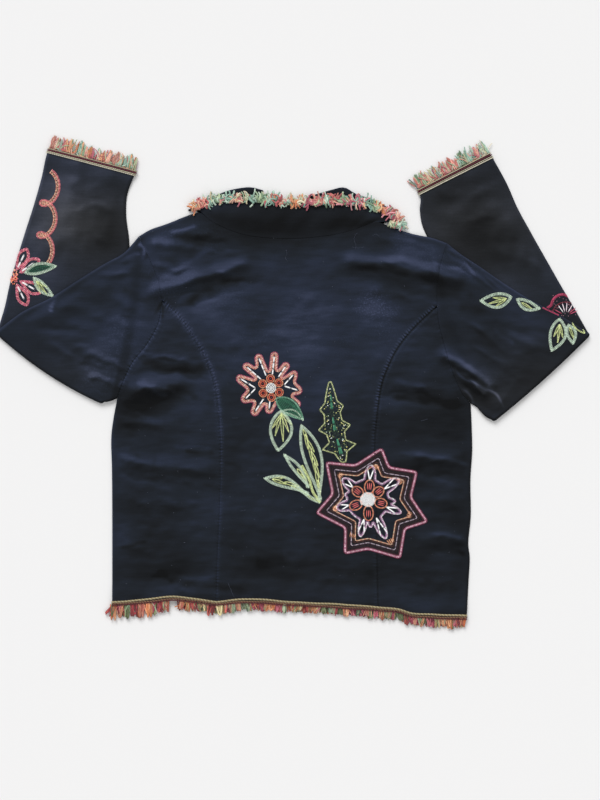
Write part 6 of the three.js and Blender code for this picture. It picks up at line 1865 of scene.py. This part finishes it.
def velvet_material():
    m_, nt, nodes, bsdf = material("velvet")
    link = nt.links.new
    co = nodes.new("ShaderNodeTexCoord")
    # the attribute carries the pile's painted light and shade, with its tone
    pile_and_painted_light = nodes.new("ShaderNodeAttribute")
    pile_and_painted_light.attribute_name = "pile_and_painted_light"
    wear = nodes.new("ShaderNodeAttribute")
    wear.attribute_name = "worn"

    def noise(scale, detail_=2.0, rough=0.5, stretch=(1, 1, 1)):
        mp = nodes.new("ShaderNodeMapping")
        mp.inputs["Scale"].default_value = stretch
        link(co.outputs["Object"], mp.inputs["Vector"])
        n_ = nodes.new("ShaderNodeTexNoise")
        n_.inputs["Scale"].default_value = scale
        n_.inputs["Detail"].default_value = detail_
        n_.inputs["Roughness"].default_value = rough
        link(mp.outputs["Vector"], n_.inputs["Vector"])
        return n_.outputs["Fac"]

    def math_(op, a, b, clamp=False):
        n_ = nodes.new("ShaderNodeMath")
        n_.operation = op
        n_.use_clamp = clamp
        for i_, v_ in enumerate((a, b)):
            if isinstance(v_, (int, float)):
                n_.inputs[i_].default_value = v_
            else:
                link(v_, n_.inputs[i_])
        return n_.outputs[0]
    blotch = noise(9, 3, 0.6)
    patch = noise(38, 3, 0.55, (1, 1.8, 1))
    streak = noise(95, 3, 0.6, (0.45, 4.5, 1))
    pile = noise(1500, 2, 0.6)
    f_ = math_("ADD", pile_and_painted_light.outputs["Fac"], math_("MULTIPLY", math_("SUBTRACT", blotch, 0.5), 0.17))
    f_ = math_("ADD", f_, math_("MULTIPLY", math_("SUBTRACT", patch, 0.5), 0.14))
    f_ = math_("ADD", f_, math_("MULTIPLY", math_("SUBTRACT", streak, 0.5), 0.16))

    def carried(key):
        n_ = nodes.new("ShaderNodeAttribute")
        n_.attribute_name = key
        return n_.outputs["Fac"]

    def bell(value, width):
        """1 on a line and falling off to both sides over a width in millimetres."""
        return math_("EXPONENT", math_("MULTIPLY", math_("MULTIPLY", value, value), -1.0 / width**2), 0.0)
    # painted highlights on the puckers that cross each seam
    close = math_("MULTIPLY", bell(carried("seam_ladder"), 2.9), carried("seam_pucker_highlights"))
    wander = math_("MULTIPLY", noise(160, 2, 0.5), 7.0)
    tick_ = math_("SINE", math_("ADD", math_("MULTIPLY", carried("seam_along"), 1.45), wander), 0.0)
    pucker_highlights = math_("MULTIPLY", math_("MULTIPLY", tick_, close), math_("MULTIPLY", math_("SUBTRACT", noise(26, 2, 0.5), 0.22), 1.5))
    f_ = math_("ADD", f_, math_("MULTIPLY", pucker_highlights, 0.34))
    f_ = math_("SUBTRACT", f_, math_("MULTIPLY", math_("MULTIPLY", bell(carried("seam_dark"), 1.35), carried("seam_line")), 0.42))
    rub = math_("MULTIPLY", wear.outputs["Fac"], math_("GREATER_THAN", noise(520, 3, 0.7), 0.58))
    f_ = math_("ADD", f_, math_("MULTIPLY", rub, 0.42), True)
    # the ramp turns the value, with its painted light and shade, into the base colour
    ramp = nodes.new("ShaderNodeValToRGB")
    link(f_, ramp.inputs["Fac"])
    el = ramp.color_ramp.elements
    el[0].position, el[0].color = 0.0, (0.0040, 0.0044, 0.0050, 1)
    el[1].position, el[1].color = 1.0, (0.046, 0.057, 0.105, 1)
    for pos, c_ in ((0.25, (0.0088, 0.0105, 0.0135)), (0.45, (0.0127, 0.0165, 0.0245)), (0.66, (0.0190, 0.0255, 0.0450))):
        e_ = el.new(pos)
        e_.color = (*c_, 1)
    grain = nodes.new("ShaderNodeMix")
    grain.data_type = "RGBA"
    grain.blend_type = "MULTIPLY"
    grain.inputs["Factor"].default_value = 0.5
    tame = nodes.new("ShaderNodeHueSaturation")
    link(math_("SUBTRACT", 1.0, math_("MULTIPLY", carried("grey"), 0.72)), tame.inputs["Saturation"])
    link(ramp.outputs["Color"], tame.inputs["Color"])
    link(tame.outputs["Color"], grain.inputs["A"])
    link(pile, grain.inputs["B"])
    bright = nodes.new("ShaderNodeMix")
    bright.data_type = "RGBA"
    bright.blend_type = "MULTIPLY"
    bright.inputs["Factor"].default_value = 1.0
    bright.inputs["B"].default_value = (1.28, 1.28, 1.28, 1)
    link(grain.outputs["Result"], bright.inputs["A"])
    link(bright.outputs["Result"], bsdf.inputs["Base Color"])
    bsdf.inputs["Roughness"].default_value = 0.9
    bsdf.inputs["Specular IOR Level"].default_value = 0.12
    bsdf.inputs["Sheen Weight"].default_value = 0.12
    bsdf.inputs["Sheen Roughness"].default_value = 0.42
    bsdf.inputs["Sheen Tint"].default_value = (0.48, 0.58, 0.80, 1)
    b1 = nodes.new("ShaderNodeBump")
    b1.inputs["Strength"].default_value = 0.35
    b1.inputs["Distance"].default_value = 0.0006
    link(streak, b1.inputs["Height"])
    b2 = nodes.new("ShaderNodeBump")
    b2.inputs["Strength"].default_value = 0.5
    b2.inputs["Distance"].default_value = 0.0003
    link(pile, b2.inputs["Height"])
    link(b1.outputs["Normal"], b2.inputs["Normal"])
    link(b2.outputs["Normal"], bsdf.inputs["Normal"])
    return m_


def yarn_material(name, fibre, sheen, rough=0.85, low_=0.62):
    m_, nt, nodes, bsdf = material(name)
    link = nt.links.new
    co = nodes.new("ShaderNodeTexCoord")
    col_ = nodes.new("ShaderNodeVertexColor")
    col_.layer_name = "yarn"
    n_ = nodes.new("ShaderNodeTexNoise")
    n_.inputs["Scale"].default_value = fibre
    n_.inputs["Detail"].default_value = 3
    link(co.outputs["Object"], n_.inputs["Vector"])
    ramp = nodes.new("ShaderNodeValToRGB")
    ramp.color_ramp.elements[0].position, ramp.color_ramp.elements[0].color = 0.25, (low_, low_, low_, 1)
    ramp.color_ramp.elements[1].position, ramp.color_ramp.elements[1].color = 0.75, (1.18, 1.18, 1.18, 1)
    link(n_.outputs["Fac"], ramp.inputs["Fac"])
    mix_ = nodes.new("ShaderNodeMix")
    mix_.data_type = "RGBA"
    mix_.blend_type = "MULTIPLY"
    mix_.inputs["Factor"].default_value = 1.0
    link(col_.outputs["Color"], mix_.inputs["A"])
    link(ramp.outputs["Color"], mix_.inputs["B"])
    link(mix_.outputs["Result"], bsdf.inputs["Base Color"])
    bsdf.inputs["Roughness"].default_value = rough
    bsdf.inputs["Specular IOR Level"].default_value = 0.25
    bsdf.inputs["Sheen Weight"].default_value = sheen
    bsdf.inputs["Sheen Roughness"].default_value = 0.5
    b_ = nodes.new("ShaderNodeBump")
    b_.inputs["Strength"].default_value = 0.5
    b_.inputs["Distance"].default_value = 0.0003
    link(n_.outputs["Fac"], b_.inputs["Height"])
    link(b_.outputs["Normal"], bsdf.inputs["Normal"])
    return m_


VELVET = velvet_material()
YARN = yarn_material("fringe_yarn", 900, 0.30)
CORD = yarn_material("braid_yarn", 1100, 0.20, 0.8)
THREAD = yarn_material("stitch_thread", 1600, 0.12, 0.6, 0.80)
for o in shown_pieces():
    if "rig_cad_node" in o:
        continue
    o.data.materials.clear()
    o.data.materials.append(VELVET if o.name.startswith("velvet") else CORD if o.name.startswith("braid")
                            else THREAD if o.name.startswith("stitch") or o.name == "lint" else YARN)

# ---------------------------------------------------------------- floor and light
me = bpy.data.meshes.new("floor")
me.from_pydata([(-4, -4, -0.0004), (4, -4, -0.0004), (4, 4, -0.0004), (-4, 4, -0.0004)], [], [(0, 1, 2, 3)])
floor = bpy.data.objects.new("floor", me)
scene.collection.objects.link(floor)
floor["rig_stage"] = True
m_, nt, nodes, bsdf = material("floor")
bsdf.inputs["Base Color"].default_value = (0.828, 0.826, 0.826, 1)
bsdf.inputs["Roughness"].default_value = 1.0
bsdf.inputs["Specular IOR Level"].default_value = 0.0
me.materials.append(m_)

world = bpy.data.worlds.new("world")
scene.world = world
world.use_nodes = True
world.node_tree.nodes["Background"].inputs["Color"].default_value = (1.0, 1.0, 1.0, 1)
world.node_tree.nodes["Background"].inputs["Strength"].default_value = 0.52


def sun(name, direction, strength, size, tint=(1, 1, 1)):
    data = bpy.data.lights.new(name, "SUN")
    data.energy, data.angle, data.color = strength, math.radians(size), tint
    o = bpy.data.objects.new(name, data)
    scene.collection.objects.link(o)
    o.rotation_mode = "QUATERNION"
    o.rotation_quaternion = Vector(direction).to_track_quat("Z", "Y")
    return o


sun("key", (SUN[0], SUN[1], 0.85), 2.15, 34)
sun("fill", (0.6, -0.5, 1.2), 0.45, 70)
scene.view_settings.view_transform = "Standard"

total = 0
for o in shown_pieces():
    if "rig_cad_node" not in o:
        tris_ = sum(len(p.vertices) - 2 for p in o.data.polygons)
        total += tris_
        print("triangles", o.name, tris_)
print("triangles in all", total)
